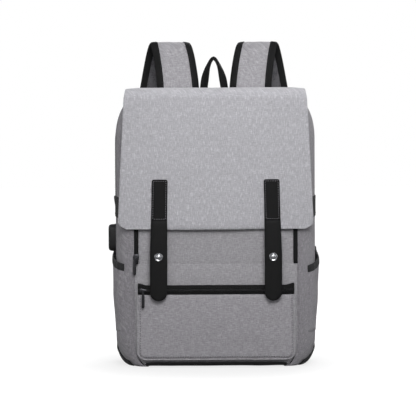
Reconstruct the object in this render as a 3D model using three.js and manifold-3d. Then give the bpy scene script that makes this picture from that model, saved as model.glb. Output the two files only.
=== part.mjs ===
// Flap-top laptop backpack, millimetres. +Z is up, -Y is the front of the bag, +Y is the
// wearer's back, +X is to the right as seen from the front. The origin is on the floor
// under the middle of the base.
import * as THREE from 'three';
import Module from 'manifold-3d';
import { mergeVertices } from 'three/addons/utils/BufferGeometryUtils.js';

// ---- Driving dimensions -------------------------------------------------------------
const GAP = 0.3; // between pieces that touch

// Bag body
const BAG_WIDTH = 294;
const BODY_HEIGHT = 398.5;
const BACK_Y = 60; // rear face of the back panel
const MAIN_FRONT_Y = -15; // seam between the main and the front compartment
const FACE_Y = -62; // flat front face
const FACE_WIDTH = BAG_WIDTH - 2 * 27; // flat front between the rounded corners
const FACE_TOP = BODY_HEIGHT - 16; // top of the flat front
const TOP_CORNER_WIDTH = 36; // rounded top corner, along X
const TOP_CORNER_HEIGHT = 62; // and along Z
const BOTTOM_CORNER_WIDTH = 21; // rounded bottom corner, along X
const BOTTOM_CORNER_HEIGHT = 42; // and along Z
const WALL = 3;
const BASE_HALF = BAG_WIDTH / 2 - BOTTOM_CORNER_WIDTH - 4; // base panel's half width
const BASE_LIP = 9.5; // how far the base turns up over the front
const LIP_THICKNESS = 2;
const LIP_INSET = 12; // from the front pocket's edges
const LIP_TUCK = 8; // how far the lip's foot reaches under the front
const DIVIDER_THICKNESS = 2;

// Zips
const ZIP_TAPE = 12;
const ZIP_SET_BACK = 9; // of the main zip behind the compartment seam
const REAR_GUSSET_Y = MAIN_FRONT_Y + ZIP_SET_BACK + ZIP_TAPE; // the rear gusset starts here
const MAIN_ZIP_END_Z = 236;
const FRONT_ZIP_TAPE = 6.5;
const FRONT_ZIP_END_Z = 150;
const SLIDER_HEIGHT = 3.3;
const SLIDER_WIDTH = 7;
const SLIDER_LENGTH = 12;
const PULLER_THICKNESS = 1.1;
const PULLER_WIDTH = 4.4;
const PULLER_LENGTH = 26;
const FRONT_PULLER_LENGTH = 24;

// Front pocket
const POCKET_WIDTH = FACE_WIDTH - 12;
const POCKET_BOTTOM = 11;
const POCKET_TOP = 104.5;
const POCKET_ROOM = 4.8; // free depth inside
const POCKET_SKIN = 2.2;
const POCKET_CORNER = 11;
const POCKET_ZIP_HEIGHT = 13.5;
const POCKET_ZIP_CHAMFER = 1;
const PIPING = 2.4;

// Side pockets
const SIDE_ROOM = 4.2;
const SIDE_SKIN = 1.2;
const SIDE_BOTTOM = 50;
const SIDE_FRONT_Y = FACE_Y + 7;
const SIDE_REAR_Y = BACK_Y - 8;
const SIDE_MOUTH_Z = 157; // height of the mouth above y = 0
const SIDE_SLOPE = 0.155; // the mouth rises towards the back
const ELASTIC_SET_BACK = 1; // its front end, from the pocket's front edge
const ELASTIC_HEIGHT = 10;

// Patches sewn over the sides
const PATCH_THICKNESS = 1.2;
const ZIP_PATCH_FRONT = FACE_Y + 10;
const ZIP_PATCH_REAR = REAR_GUSSET_Y + 16;
const ZIP_PATCH_BELOW = 18; // from the end of the zip down
const ZIP_PATCH_ABOVE = 13; // and up
const ZIP_PATCH_RISE = 5; // its lower edge climbs towards the back
const CORNER_PATCH_TOP = 45;
const CORNER_PATCH_FRONT = FACE_Y + 8;
const CORNER_PATCH_DROP = 19; // its top edge falls by this towards the front
const CORNER_PATCH_FOOT = 0.5; // above the floor
const CORNER_PATCH_TOE = 8; // height of its front edge
const CORNER_PATCH_KNEE = [FACE_Y + 38, 22]; // where the slanting edge levels out, as depth and height
const CORNER_PATCH_BACK = 26; // how far it wraps onto the back panel

// Charging port on the left side
const PORT_BOTTOM = 166;
const PORT_HEIGHT = 42;
const PORT_WIDTH = 24;
const PORT_DEPTH = 12.5;
const PORT_Y = 3;
const PORT_CORNER = 10;
const PORT_BEVEL = 3;
const PORT_FLOOR = 1; // left behind the socket
const SOCKET_HEIGHT = 13.5;
const SOCKET_WIDTH = 6.2;
const SOCKET_WALL = 0.5;
const SOCKET_RECESS = 0.3; // of its rim behind the housing's face

// Flap
const FLAP_WIDTH_TOP = BAG_WIDTH - 26;
const FLAP_WIDTH_BOTTOM = BAG_WIDTH - 7;
const FLAP_THICKNESS = 2.7;
const FLAP_TOP_Z = BODY_HEIGHT + 10;
const FLAP_BOTTOM_Z = 200;
// Room over the front face for a zip slider and its puller.
const FLAP_CLEARANCE = SLIDER_HEIGHT + PULLER_THICKNESS + 4 * GAP;
const FLAP_BEND = 18;
const FLAP_HINGE_Y = BACK_Y - 10;
const FLAP_FOLD_Y = FACE_Y + FLAP_BEND; // where the hanging part starts
const FLAP_CORNER = 9;
const FOLD_GAP = 0.4;
const ROOT_RISE = 5; // of the flap's sewn edge above the body
const ROOT_CHAMFER = 3; // at the rear edge
const ROOT_WIDTH = 4;

// Leather straps over the flap
const STRAP_SPACING = 167;
const STRAP_WIDTH = 25;
const STRAP_THICKNESS = 2.4;
const STRAP_CREASE_Z = FLAP_BOTTOM_Z + 13.5;
const STRAP_TOP_Z = STRAP_CREASE_Z + 60;
const STRAP_TIP_Z = STRAP_CREASE_Z - 117;
const STRAP_TOP_CORNER = 3;
// The tip leans out this much further than the crease, to clear a slider on the pocket zip.
const STRAP_LEAN = POCKET_ROOM + POCKET_SKIN + SLIDER_HEIGHT + PULLER_THICKNESS + 5 * GAP
  - FLAP_CLEARANCE - FLAP_THICKNESS;
const SNAP_Z = STRAP_TIP_Z + 64;
const SNAP_RADIUS = 6;
const SNAP_CAP_HEIGHT = 2.4;
const SOCKET_RING_RADIUS = 5.4;
const SOCKET_RING_HOLE = 3.1;
const SOCKET_RING_HEIGHT = 2.2;
const STUD_RADIUS = 2.5;
const STUD_FLANGE = 5.5;
const STUD_FLANGE_HEIGHT = 1;
const STUD_ROUNDING = 0.6;

// Back of the bag
const PAD_THICKNESS = 8;
const PAD_GAP_HALF = 22; // half the air channel between the pads
const PAD_OUTER = BAG_WIDTH / 2 - 31;
const PAD_CORNER = 18;
const PAD_CHAMFER = 3;
const BACK_PAD_BOTTOM = 228;
const BACK_PAD_TOP = BODY_HEIGHT - 40;
const LUMBAR_BOTTOM = 48;
const LUMBAR_TOP = 118;
const TROLLEY_BOTTOM = 130;
const TROLLEY_TOP = 216;
const TROLLEY_HALF = BAG_WIDTH / 2 - 12;
const TROLLEY_ROOM = 13;
const TROLLEY_SKIN = 2;
const TROLLEY_FOOT = 9;
const SLEEVE_ROOM = 14; // laptop space in front of the back panel
const SLEEVE_THICKNESS = 5;
const SLEEVE_HALF = BAG_WIDTH / 2 - BOTTOM_CORNER_WIDTH - 7;
const SLEEVE_TOP = BODY_HEIGHT - 110;
const YOKE_TOP = BODY_HEIGHT - 10;
const YOKE_BOTTOM = YOKE_TOP - 22;
const YOKE_MARGIN = 4.5; // beyond the sewn-in ends of the straps
const YOKE_THICKNESS = 3;
const STUB_BOTTOM = BODY_HEIGHT - 17; // sewn-in end of a shoulder strap
const STUB_TOP = BODY_HEIGHT + 10;
const STUB_STAND_OFF = 4; // from the back panel
const STUB_MARGIN = 3.5; // between the carrying handle and a sewn-in end
const FOOT_TOP = 45.5; // sewn-in end of the lower webbing
const FOOT_BOTTOM = 32;
const FOOT_X = -BAG_WIDTH / 2 + 11;
const FOOT_Y = BACK_Y + 9;

// Carrying handle
const HANDLE_HALF_SPAN = 20;
const HANDLE_TOP = BODY_HEIGHT + 63.5;
const HANDLE_BASE_Z = BODY_HEIGHT - 6;
const HANDLE_WIDTH = 18;
const HANDLE_THICKNESS = 3.6;
const HANDLE_Y = BACK_Y + 10;
const HANDLE_NARROWING = 1.25; // above 1 its sides lean in to a narrow top

// Shoulder straps. The left one's centre line starts above its sewn-in end, arches up and
// back, and comes down to the ladder lock.
const SHOULDER_WIDTH = 64;
const SHOULDER_THICKNESS = 11;
const BINDING_WIDTH = 9.5;
const SHOULDER_END_WIDTH = 0.8; // width at the lower end against the top
const SHOULDER_PAD_END = 0.965; // the pad stops at this share of the binding's length
const STUB_X = -HANDLE_HALF_SPAN - STUB_MARGIN - SHOULDER_WIDTH / 2; // beside the carrying handle
const SHOULDER_START_Z = STUB_TOP + 4.5;
const SHOULDER_END_Z = 205;
const shoulderAt = (out, back, z) => [STUB_X - out, BACK_Y + back, z];
const risenTo = (rise) => SHOULDER_START_Z + rise;
const downTo = (share) => SHOULDER_END_Z + (SHOULDER_START_Z - SHOULDER_END_Z) * share;
const SHOULDER_LINE = [
  shoulderAt(0, 10, risenTo(0)), shoulderAt(2.5, 15.5, risenTo(25)), shoulderAt(7.5, 28, risenTo(55)),
  shoulderAt(12.5, 44, risenTo(68.5)), shoulderAt(18.5, 60, risenTo(56)), shoulderAt(28.5, 70, downTo(1.06)),
  shoulderAt(39.5, 70, downTo(0.774)), shoulderAt(49.5, 62, downTo(0.442)),
  shoulderAt(56.5, 51, downTo(0.163)), shoulderAt(59.5, 44, downTo(0)),
];
const WEB_WIDTH = 25;
const WEB_THICKNESS = 1.6;
const LOCK_WIDTH = 34;
const LOCK_HEIGHT = 24;
const LOCK_THICKNESS = 7;
const LOCK_BAR = 4;
const LOCK_CENTRE = shoulderAt(61, 42, SHOULDER_END_Z - 15.5);
// The webbing is trimmed off level under the lock and over its sewn-in end.
const WEB_START = shoulderAt(62, 40, LOCK_CENTRE[2] - LOCK_HEIGHT / 2);
const WEB_END = [FOOT_X, FOOT_Y, FOOT_TOP];
// A point of the webbing's run, a share of the way down it, bowed out from the straight line.
const webAt = (share, bow) => WEB_START.map((start, i) => start + (WEB_END[i] - start) * share
  + (i === 1 ? bow : 0));
const WEB_LINE = [webAt(0, 0), webAt(0.26, 3), webAt(0.62, 3), webAt(0.89, 0.5), webAt(1, 0)];
const WEB_TAIL_LINE = [
  shoulderAt(61, 44, LOCK_CENTRE[2] - 13.5), shoulderAt(62, 48, LOCK_CENTRE[2] - 67),
  shoulderAt(62.5, 46.5, LOCK_CENTRE[2] - 115),
];

// ---- Colours ------------------------------------------------------------------------
const material = (color, roughness, metalness = 0) =>
  new THREE.MeshStandardMaterial({ color, roughness, metalness });
const GREY = material(0x8f8c91, 0.9);
const BLACK_CLOTH = material(0x1c1c1e, 0.85);
const BLACK_LEATHER = material(0x1a1a1b, 0.5);
const MESH = material(0x2a2a2c, 0.95);
const LINING = material(0x3a3a3d, 0.9);
const CHROME = material(0xc8c8cc, 0.2, 1);
const BLACK_METAL = material(0x222224, 0.4, 0.8);
const BLACK_PLASTIC = material(0x161617, 0.45);

// ---- Solids -------------------------------------------------------------------------
const wasm = await Module();
wasm.setup();

// A closed three.js geometry as a solid that can be cut and joined.
function solid(geometry) {
  const bare = geometry.clone();
  bare.deleteAttribute('normal');
  bare.deleteAttribute('uv');
  const merged = mergeVertices(bare, 1e-4);
  return new wasm.Manifold(new wasm.Mesh({
    numProp: 3,
    vertProperties: new Float32Array(merged.attributes.position.array),
    triVerts: new Uint32Array(merged.index.array),
  }));
}

// A solid back as a three.js geometry.
function geometryOf(body) {
  const mesh = body.getMesh();
  const geometry = new THREE.BufferGeometry();
  geometry.setAttribute('position', new THREE.BufferAttribute(new Float32Array(mesh.vertProperties), 3));
  geometry.setIndex(new THREE.BufferAttribute(new Uint32Array(mesh.triVerts), 1));
  geometry.computeVertexNormals();
  return geometry;
}

function block(x0, x1, y0, y1, z0, z1) {
  const geometry = new THREE.BoxGeometry(x1 - x0, y1 - y0, z1 - z0);
  geometry.translate((x0 + x1) / 2, (y0 + y1) / 2, (z0 + z1) / 2);
  return solid(geometry);
}

// A shape drawn in X (across) and Z (up), made solid from y0 to y1.
function slab(shape, y0, y1, curveSegments = 8) {
  const geometry = new THREE.ExtrudeGeometry(shape, { depth: y1 - y0, bevelEnabled: false, curveSegments });
  geometry.rotateX(Math.PI / 2);
  geometry.translate(0, y1, 0);
  return solid(geometry);
}

// A profile drawn in Y (front to back) and Z (up), made solid from x0 to x1.
function profile(points, x0, x1) {
  const shape = new THREE.Shape(points.map(([y, z]) => new THREE.Vector2(y, z)));
  const geometry = new THREE.ExtrudeGeometry(shape, { depth: x1 - x0, bevelEnabled: false });
  geometry.applyMatrix4(new THREE.Matrix4().set(0, 0, 1, x0, 1, 0, 0, 0, 0, 1, 0, 0, 0, 0, 0, 1));
  return solid(geometry);
}

// Arched outline: straight sides with elliptical corners at the top and the bottom.
function archShape(half, bottom, top, cornerX, cornerZ, bottomX, bottomZ = bottomX) {
  const shape = new THREE.Shape();
  shape.moveTo(-half + bottomX, bottom);
  shape.lineTo(half - bottomX, bottom);
  shape.absellipse(half - bottomX, bottom + bottomZ, bottomX, bottomZ, -Math.PI / 2, 0, false);
  shape.lineTo(half, top - cornerZ);
  shape.absellipse(half - cornerX, top - cornerZ, cornerX, cornerZ, 0, Math.PI / 2, false);
  shape.lineTo(-half + cornerX, top);
  shape.absellipse(-half + cornerX, top - cornerZ, cornerX, cornerZ, Math.PI / 2, Math.PI, false);
  shape.lineTo(-half, bottom + bottomZ);
  shape.absellipse(-half + bottomX, bottom + bottomZ, bottomX, bottomZ, Math.PI, Math.PI * 1.5, false);
  return shape;
}

// The bag's whole outer form, drawn in by an inset (or let out by a negative one).
// It is straight from the back to the compartment seam, then rounds in to the flat face.
const FORM_STEPS = 9;
function bagForm(inset) {
  const half = BAG_WIDTH / 2 - inset;
  const top = BODY_HEIGHT - inset;
  const roundX = BAG_WIDTH / 2 - FACE_WIDTH / 2 - inset;
  const roundZ = BODY_HEIGHT - FACE_TOP - inset;
  const roundY = MAIN_FRONT_Y - FACE_Y - inset;
  const shape = archShape(half, inset, top, TOP_CORNER_WIDTH - inset, TOP_CORNER_HEIGHT - inset,
    BOTTOM_CORNER_WIDTH - inset, BOTTOM_CORNER_HEIGHT - inset);
  const geometry = new THREE.ExtrudeGeometry(
    shape, { depth: FORM_STEPS, steps: FORM_STEPS, bevelEnabled: false, curveSegments: 7 });
  const position = geometry.attributes.position;
  for (let i = 0; i < position.count; i += 1) {
    const station = Math.round(position.getZ(i));
    const turn = Math.max(0, (station - 1) / (FORM_STEPS - 1)) * Math.PI / 2;
    const widthHere = (half - roundX * (1 - Math.cos(turn))) / half;
    const heightHere = (top - inset - roundZ * (1 - Math.cos(turn))) / (top - inset);
    const y = station === 0 ? BACK_Y - inset : MAIN_FRONT_Y - roundY * Math.sin(turn);
    const z = inset + (position.getY(i) - inset) * heightHere;
    position.setXYZ(i, position.getX(i) * widthHere, y, z);
  }
  return solid(geometry);
}

// A flat band bent along a 3-D line, width across X, thickness towards the wearer.
function ribbon(line, width, thickness, options = {}) {
  const { segments = 22, endWidth = 1, to = 1, overrun = 0, across = new THREE.Vector3(1, 0, 0) } = options;
  const curve = new THREE.CatmullRomCurve3(line.map((p) => new THREE.Vector3(...p)));
  const geometry = new THREE.BoxGeometry(width, thickness, 1, 1, 1, segments);
  const position = geometry.attributes.position;
  for (let i = 0; i < position.count; i += 1) {
    const along = to * (position.getZ(i) + 0.5);
    const centre = curve.getPointAt(along);
    const tangent = curve.getTangentAt(along);
    const side = across.clone().addScaledVector(tangent, -across.dot(tangent)).normalize();
    const face = new THREE.Vector3().crossVectors(tangent, side);
    centre.addScaledVector(side, position.getX(i) * (1 + (endWidth - 1) * along))
      .addScaledVector(face, position.getY(i))
      .addScaledVector(tangent, along === 0 ? -overrun : 0);
    position.setXYZ(i, centre.x, centre.y, centre.z);
  }
  return solid(geometry);
}

// A round piece on an axis along Y, from a profile of [radius, distance out of the face].
function turned(points, x, y, z, segments = 20) {
  const geometry = new THREE.LatheGeometry(points.map(([r, h]) => new THREE.Vector2(r, h)), segments);
  geometry.rotateX(Math.PI);
  geometry.translate(x, y, z);
  return solid(geometry);
}

const mirrored = (body) => body.mirror([1, 0, 0]);

const bag = new THREE.Group();
function add(name, body, look) {
  const mesh = new THREE.Mesh(geometryOf(body), look);
  mesh.name = name;
  bag.add(mesh);
}

// Adds the left piece as built and its mirror image as the right one.
function addPair(name, left, look) {
  add(`${name}_left`, left, look);
  add(`${name}_right`, mirrored(left), look);
}

// ---- Bag body -----------------------------------------------------------------------
const FAR = 600;
const form = bagForm(0);
const wall = form.subtract(bagForm(WALL));
const baseCut = block(-BASE_HALF - GAP, BASE_HALF + GAP, -FAR, FAR, -1, WALL + GAP);
const between = (body, y0, y1) => body.intersect(block(-FAR, FAR, y0, y1, -FAR, FAR));

const backPanel = between(wall, BACK_Y - WALL, FAR).subtract(baseCut);
add('back_panel', backPanel, GREY);

const rearGusset = between(wall, REAR_GUSSET_Y + GAP / 2, BACK_Y - WALL - GAP).subtract(baseCut);
add('rear_gusset', rearGusset, GREY);

const zipFrontY = REAR_GUSSET_Y - ZIP_TAPE;
const mainZip = between(wall, zipFrontY + GAP / 2, REAR_GUSSET_Y - GAP / 2)
  .intersect(block(-FAR, FAR, -FAR, FAR, MAIN_ZIP_END_Z, FAR));
add('main_zip_tape', mainZip, BLACK_CLOTH);

const zipSlot = block(-FAR, FAR, zipFrontY - GAP / 2, FAR, MAIN_ZIP_END_Z - GAP, FAR);
const mainGusset = between(wall, MAIN_FRONT_Y + GAP / 2, REAR_GUSSET_Y - GAP / 2)
  .subtract(zipSlot).subtract(baseCut);
add('main_gusset', mainGusset, GREY);

// The flat front: everything inside the outline where the rounded corners end.
const faceAcross = FACE_WIDTH / BAG_WIDTH;
const faceUp = FACE_TOP / BODY_HEIGHT;
const faceShape = (inset) => archShape(
  FACE_WIDTH / 2 - inset, Math.max(inset, 0), FACE_TOP - inset,
  TOP_CORNER_WIDTH * faceAcross - Math.max(inset, 0), TOP_CORNER_HEIGHT * faceUp - Math.max(inset, 0),
  BOTTOM_CORNER_WIDTH * faceAcross - Math.max(inset, 0), BOTTOM_CORNER_HEIGHT * faceUp - Math.max(inset, 0));
const faceBack = FACE_Y + WALL;
const faceHole = slab(faceShape(-GAP), FACE_Y - 1, faceBack + GAP)
  .add(block(-BASE_HALF * faceAcross, BASE_HALF * faceAcross, FACE_Y - 1, faceBack + GAP, -1, WALL + GAP));
const frontGusset = between(wall, FACE_Y - 1, MAIN_FRONT_Y - GAP / 2).subtract(faceHole).subtract(baseCut);
add('front_gusset', frontGusset, GREY);

const faceSlab = slab(faceShape(0), FACE_Y, faceBack);
const insideZip = (inset) => slab(faceShape(inset), FACE_Y - 1, faceBack + 1)
  .add(block(-FAR, FAR, FACE_Y - 1, faceBack + 1, -1, FRONT_ZIP_END_Z + (inset > FRONT_ZIP_TAPE ? -GAP : 0)));
const frontZip = faceSlab.subtract(insideZip(FRONT_ZIP_TAPE));
add('front_zip_tape', frontZip, BLACK_CLOTH);
const frontPanel = faceSlab.intersect(insideZip(FRONT_ZIP_TAPE + GAP))
  .intersect(block(-FAR, FAR, -FAR, FAR, WALL + GAP, FAR));
add('front_panel', frontPanel, GREY);

// Base: a plate with a lip that turns up in front of the front panel.
const lipHalf = POCKET_WIDTH / 2 - LIP_INSET;
const lipFront = FACE_Y - GAP - LIP_THICKNESS;
const lip = block(-lipHalf, lipHalf, lipFront, FACE_Y - GAP, 0, BASE_LIP);
const plate = form.subtract(bagForm(WALL)).intersect(block(-BASE_HALF, BASE_HALF, -FAR, FAR, -1, WALL));
const basePanel = plate.add(lip)
  .add(block(-lipHalf, lipHalf, lipFront, FACE_Y + LIP_TUCK, 0, WALL));
add('base_panel', basePanel, BLACK_CLOTH);

// Inside: the wall between the two compartments and the laptop sleeve.
const lining = bagForm(WALL + GAP);
const divider = between(lining, MAIN_FRONT_Y, MAIN_FRONT_Y + DIVIDER_THICKNESS)
  .intersect(block(-FAR, FAR, -FAR, FAR, WALL + GAP, FAR));
add('compartment_divider', divider, LINING);
const sleeveFront = BACK_Y - WALL - SLEEVE_ROOM - SLEEVE_THICKNESS;
const sleeve = block(
  -SLEEVE_HALF, SLEEVE_HALF, sleeveFront, sleeveFront + SLEEVE_THICKNESS, WALL + GAP, SLEEVE_TOP);
add('laptop_sleeve', sleeve, LINING);

// ---- Front pocket -------------------------------------------------------------------
const pocketShape = (inset, top) => {
  const half = POCKET_WIDTH / 2 - inset;
  const bottom = POCKET_BOTTOM + inset;
  const r = POCKET_CORNER - inset;
  const shape = new THREE.Shape();
  shape.moveTo(-half + r, bottom);
  shape.lineTo(half - r, bottom);
  shape.absarc(half - r, bottom + r, r, -Math.PI / 2, 0, false);
  shape.lineTo(half, top);
  shape.lineTo(-half, top);
  shape.lineTo(-half, bottom + r);
  shape.absarc(-half + r, bottom + r, r, Math.PI, Math.PI * 1.5, false);
  return shape;
};
const pocketBack = FACE_Y - GAP;
const pocketInner = FACE_Y - POCKET_ROOM;
const pocketFront = pocketInner - POCKET_SKIN;
const pocketPanel = slab(pocketShape(0, POCKET_TOP), pocketFront, pocketBack)
  .subtract(slab(pocketShape(POCKET_SKIN, POCKET_TOP + 5), pocketInner, pocketBack + 1));
add('pocket_panel', pocketPanel, GREY);

const pocketZipTop = POCKET_TOP + POCKET_ZIP_HEIGHT;
const pocketZip = profile([
  [pocketFront, POCKET_TOP + GAP], [pocketInner, POCKET_TOP + GAP],
  [pocketInner, pocketZipTop - POCKET_SKIN], [pocketBack, pocketZipTop - POCKET_SKIN],
  [pocketBack, pocketZipTop], [pocketFront + POCKET_ZIP_CHAMFER, pocketZipTop],
  [pocketFront, pocketZipTop - POCKET_ZIP_CHAMFER],
], -POCKET_WIDTH / 2, POCKET_WIDTH / 2);
add('pocket_zip_tape', pocketZip, BLACK_CLOTH);

const pipingY = (pocketFront + pocketBack) / 2;
const piping = slab(pocketShape(-GAP - PIPING, POCKET_TOP - 1), pipingY - PIPING / 2, pipingY + PIPING / 2)
  .subtract(slab(pocketShape(-GAP, POCKET_TOP + 5), pipingY - PIPING, pipingY + PIPING))
  .subtract(block(-FAR, FAR, lipFront - GAP, FAR, -FAR, BASE_LIP + GAP));
add('pocket_piping', piping, GREY);

// ---- Side pockets -------------------------------------------------------------------
// A region on the left side, from front to rear, under a line that rises to the back.
const sideRegion = (y0, y1, bottom, mouth) => profile([
  [y0, bottom], [y1, bottom], [y1, mouth + SIDE_SLOPE * y1], [y0, mouth + SIDE_SLOPE * y0],
], -FAR, -BAG_WIDTH / 2 + 30);
const sideOuter = bagForm(-GAP - SIDE_ROOM - SIDE_SKIN);
const sideInner = bagForm(-GAP - SIDE_ROOM);
const nearWall = bagForm(-GAP);
const sideElasticBottom = SIDE_MOUTH_Z - ELASTIC_HEIGHT / 2;
const sidePocket = sideOuter.subtract(nearWall)
  .intersect(sideRegion(SIDE_FRONT_Y, SIDE_REAR_Y, SIDE_BOTTOM, sideElasticBottom))
  .subtract(sideInner.intersect(sideRegion(
    SIDE_FRONT_Y + SIDE_SKIN * 2, SIDE_REAR_Y - SIDE_SKIN, SIDE_BOTTOM + SIDE_SKIN, FAR)));
addPair('side_pocket', sidePocket, GREY);
const sideElastic = sideOuter.subtract(sideInner)
  .intersect(sideRegion(
    SIDE_FRONT_Y + ELASTIC_SET_BACK, SIDE_REAR_Y, SIDE_BOTTOM, sideElasticBottom + ELASTIC_HEIGHT))
  .subtract(sideRegion(-FAR, FAR, 0, sideElasticBottom + GAP));
addPair('pocket_elastic', sideElastic, BLACK_CLOTH);

// ---- Patches on the sides -----------------------------------------------------------
const patchSkin = bagForm(-GAP - PATCH_THICKNESS).subtract(nearWall);
const zipPatch = patchSkin.intersect(profile([
  [ZIP_PATCH_FRONT, MAIN_ZIP_END_Z - ZIP_PATCH_BELOW],
  [ZIP_PATCH_REAR, MAIN_ZIP_END_Z - ZIP_PATCH_BELOW + ZIP_PATCH_RISE],
  [ZIP_PATCH_REAR, MAIN_ZIP_END_Z + ZIP_PATCH_ABOVE], [ZIP_PATCH_FRONT, MAIN_ZIP_END_Z + ZIP_PATCH_ABOVE],
], -FAR, 0));
addPair('zip_end_patch', zipPatch, BLACK_CLOTH);
const cornerPatch = patchSkin.intersect(profile([
  [CORNER_PATCH_FRONT, CORNER_PATCH_FOOT], [FAR, CORNER_PATCH_FOOT], [FAR, CORNER_PATCH_TOP],
  [BACK_Y, CORNER_PATCH_TOP],
  [MAIN_FRONT_Y, CORNER_PATCH_TOP - CORNER_PATCH_DROP], CORNER_PATCH_KNEE,
  [CORNER_PATCH_FRONT, CORNER_PATCH_TOE],
], -FAR, -BAG_WIDTH / 2 + CORNER_PATCH_BACK));
const webFoot = block(FOOT_X - WEB_WIDTH / 2, -BAG_WIDTH / 2 + CORNER_PATCH_BACK,
  BACK_Y + GAP, FOOT_Y + WEB_THICKNESS / 2, FOOT_BOTTOM, FOOT_TOP);
addPair('anchor_patch', cornerPatch.add(webFoot), BLACK_CLOTH);

// ---- Charging port ------------------------------------------------------------------
const portX = -BAG_WIDTH / 2 - GAP;
const portShape = archShape(
  PORT_HEIGHT / 2, -PORT_WIDTH / 2, PORT_WIDTH / 2, PORT_CORNER, PORT_CORNER, PORT_CORNER);
const portGeometry = new THREE.ExtrudeGeometry(portShape, {
  depth: PORT_DEPTH - PORT_BEVEL, bevelEnabled: true, bevelThickness: PORT_BEVEL,
  bevelSize: PORT_BEVEL, bevelOffset: -PORT_BEVEL, bevelSegments: 3, curveSegments: 4,
});
portGeometry.applyMatrix4(new THREE.Matrix4().set(
  0, 0, -1, portX, 0, -1, 0, PORT_Y, -1, 0, 0, PORT_BOTTOM + PORT_HEIGHT / 2, 0, 0, 0, 1));
const portZ = PORT_BOTTOM + PORT_HEIGHT / 2;
const socketHole = (clearance, depth) => block(
  portX - PORT_DEPTH - 1, portX - PORT_DEPTH + depth,
  PORT_Y - SOCKET_WIDTH / 2 - clearance, PORT_Y + SOCKET_WIDTH / 2 + clearance,
  portZ - SOCKET_HEIGHT / 2 - clearance, portZ + SOCKET_HEIGHT / 2 + clearance);
const port = solid(portGeometry)
  .intersect(block(-FAR, portX, -FAR, FAR, -FAR, FAR))
  .subtract(socketHole(GAP, PORT_DEPTH - PORT_FLOOR));
add('usb_housing', port, BLACK_PLASTIC);
const socketBack = portX - PORT_FLOOR - GAP;
const socketFront = portX - PORT_DEPTH + SOCKET_RECESS;
const socket = block(
  socketFront, socketBack, PORT_Y - SOCKET_WIDTH / 2, PORT_Y + SOCKET_WIDTH / 2,
  portZ - SOCKET_HEIGHT / 2, portZ + SOCKET_HEIGHT / 2)
  .subtract(socketHole(-SOCKET_WALL, PORT_DEPTH - PORT_FLOOR - GAP - SOCKET_WALL));
add('usb_socket', socket, CHROME);

// ---- Flap ---------------------------------------------------------------------------
const flapInner = FACE_Y - FLAP_CLEARANCE;
const flapFront = flapInner - FLAP_THICKNESS;
const flapUnder = FLAP_TOP_Z - FLAP_THICKNESS;
const flapRoot = profile([
  [BACK_Y, BODY_HEIGHT + GAP], [BACK_Y, BODY_HEIGHT + ROOT_RISE],
  [BACK_Y - ROOT_CHAMFER, FLAP_TOP_Z - ROOT_CHAMFER / 3],
  [FLAP_HINGE_Y + FOLD_GAP, FLAP_TOP_Z], [FLAP_HINGE_Y + FOLD_GAP, flapUnder],
  [BACK_Y - ROOT_WIDTH - 1, flapUnder - 1], [BACK_Y - ROOT_WIDTH, BODY_HEIGHT + GAP],
], -FLAP_WIDTH_TOP / 2, FLAP_WIDTH_TOP / 2);
add('flap_root', flapRoot, GREY);
add('flap_top', block(
  -FLAP_WIDTH_TOP / 2, FLAP_WIDTH_TOP / 2, FLAP_FOLD_Y, FLAP_HINGE_Y, flapUnder, FLAP_TOP_Z), GREY);

const bendCentre = [flapFront + FLAP_BEND, FLAP_TOP_Z - FLAP_BEND];
const BEND_STEPS = 6;
const bendArc = (radius, step) => {
  const turn = Math.PI / 2 + (Math.PI / 2) * (step / BEND_STEPS);
  return [bendCentre[0] + radius * Math.cos(turn), bendCentre[1] + radius * Math.sin(turn)];
};
const flapProfile = [[FLAP_FOLD_Y - FOLD_GAP, FLAP_TOP_Z]];
for (let step = 0; step <= BEND_STEPS; step += 1) flapProfile.push(bendArc(FLAP_BEND, step));
flapProfile.push([flapFront, FLAP_BOTTOM_Z], [flapInner, FLAP_BOTTOM_Z]);
for (let step = BEND_STEPS; step >= 0; step -= 1) flapProfile.push(bendArc(FLAP_BEND - FLAP_THICKNESS, step));
flapProfile.push([FLAP_FOLD_Y - FOLD_GAP, flapUnder]);
const flapOutline = new THREE.Shape();
const flapHalf = FLAP_WIDTH_BOTTOM / 2;
flapOutline.moveTo(-flapHalf + FLAP_CORNER, FLAP_BOTTOM_Z);
flapOutline.lineTo(flapHalf - FLAP_CORNER, FLAP_BOTTOM_Z);
flapOutline.quadraticCurveTo(flapHalf, FLAP_BOTTOM_Z, flapHalf, FLAP_BOTTOM_Z + FLAP_CORNER);
flapOutline.lineTo(FLAP_WIDTH_TOP / 2, FLAP_TOP_Z - FLAP_BEND);
flapOutline.lineTo(FLAP_WIDTH_TOP / 2, FLAP_TOP_Z + 5);
flapOutline.lineTo(-FLAP_WIDTH_TOP / 2, FLAP_TOP_Z + 5);
flapOutline.lineTo(-FLAP_WIDTH_TOP / 2, FLAP_TOP_Z - FLAP_BEND);
flapOutline.lineTo(-flapHalf, FLAP_BOTTOM_Z + FLAP_CORNER);
flapOutline.quadraticCurveTo(-flapHalf, FLAP_BOTTOM_Z, -flapHalf + FLAP_CORNER, FLAP_BOTTOM_Z);
const flapHanging = profile(flapProfile, -flapHalf, flapHalf).intersect(slab(flapOutline, -FAR, FAR, 4));
add('flap_front', flapHanging, GREY);

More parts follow.
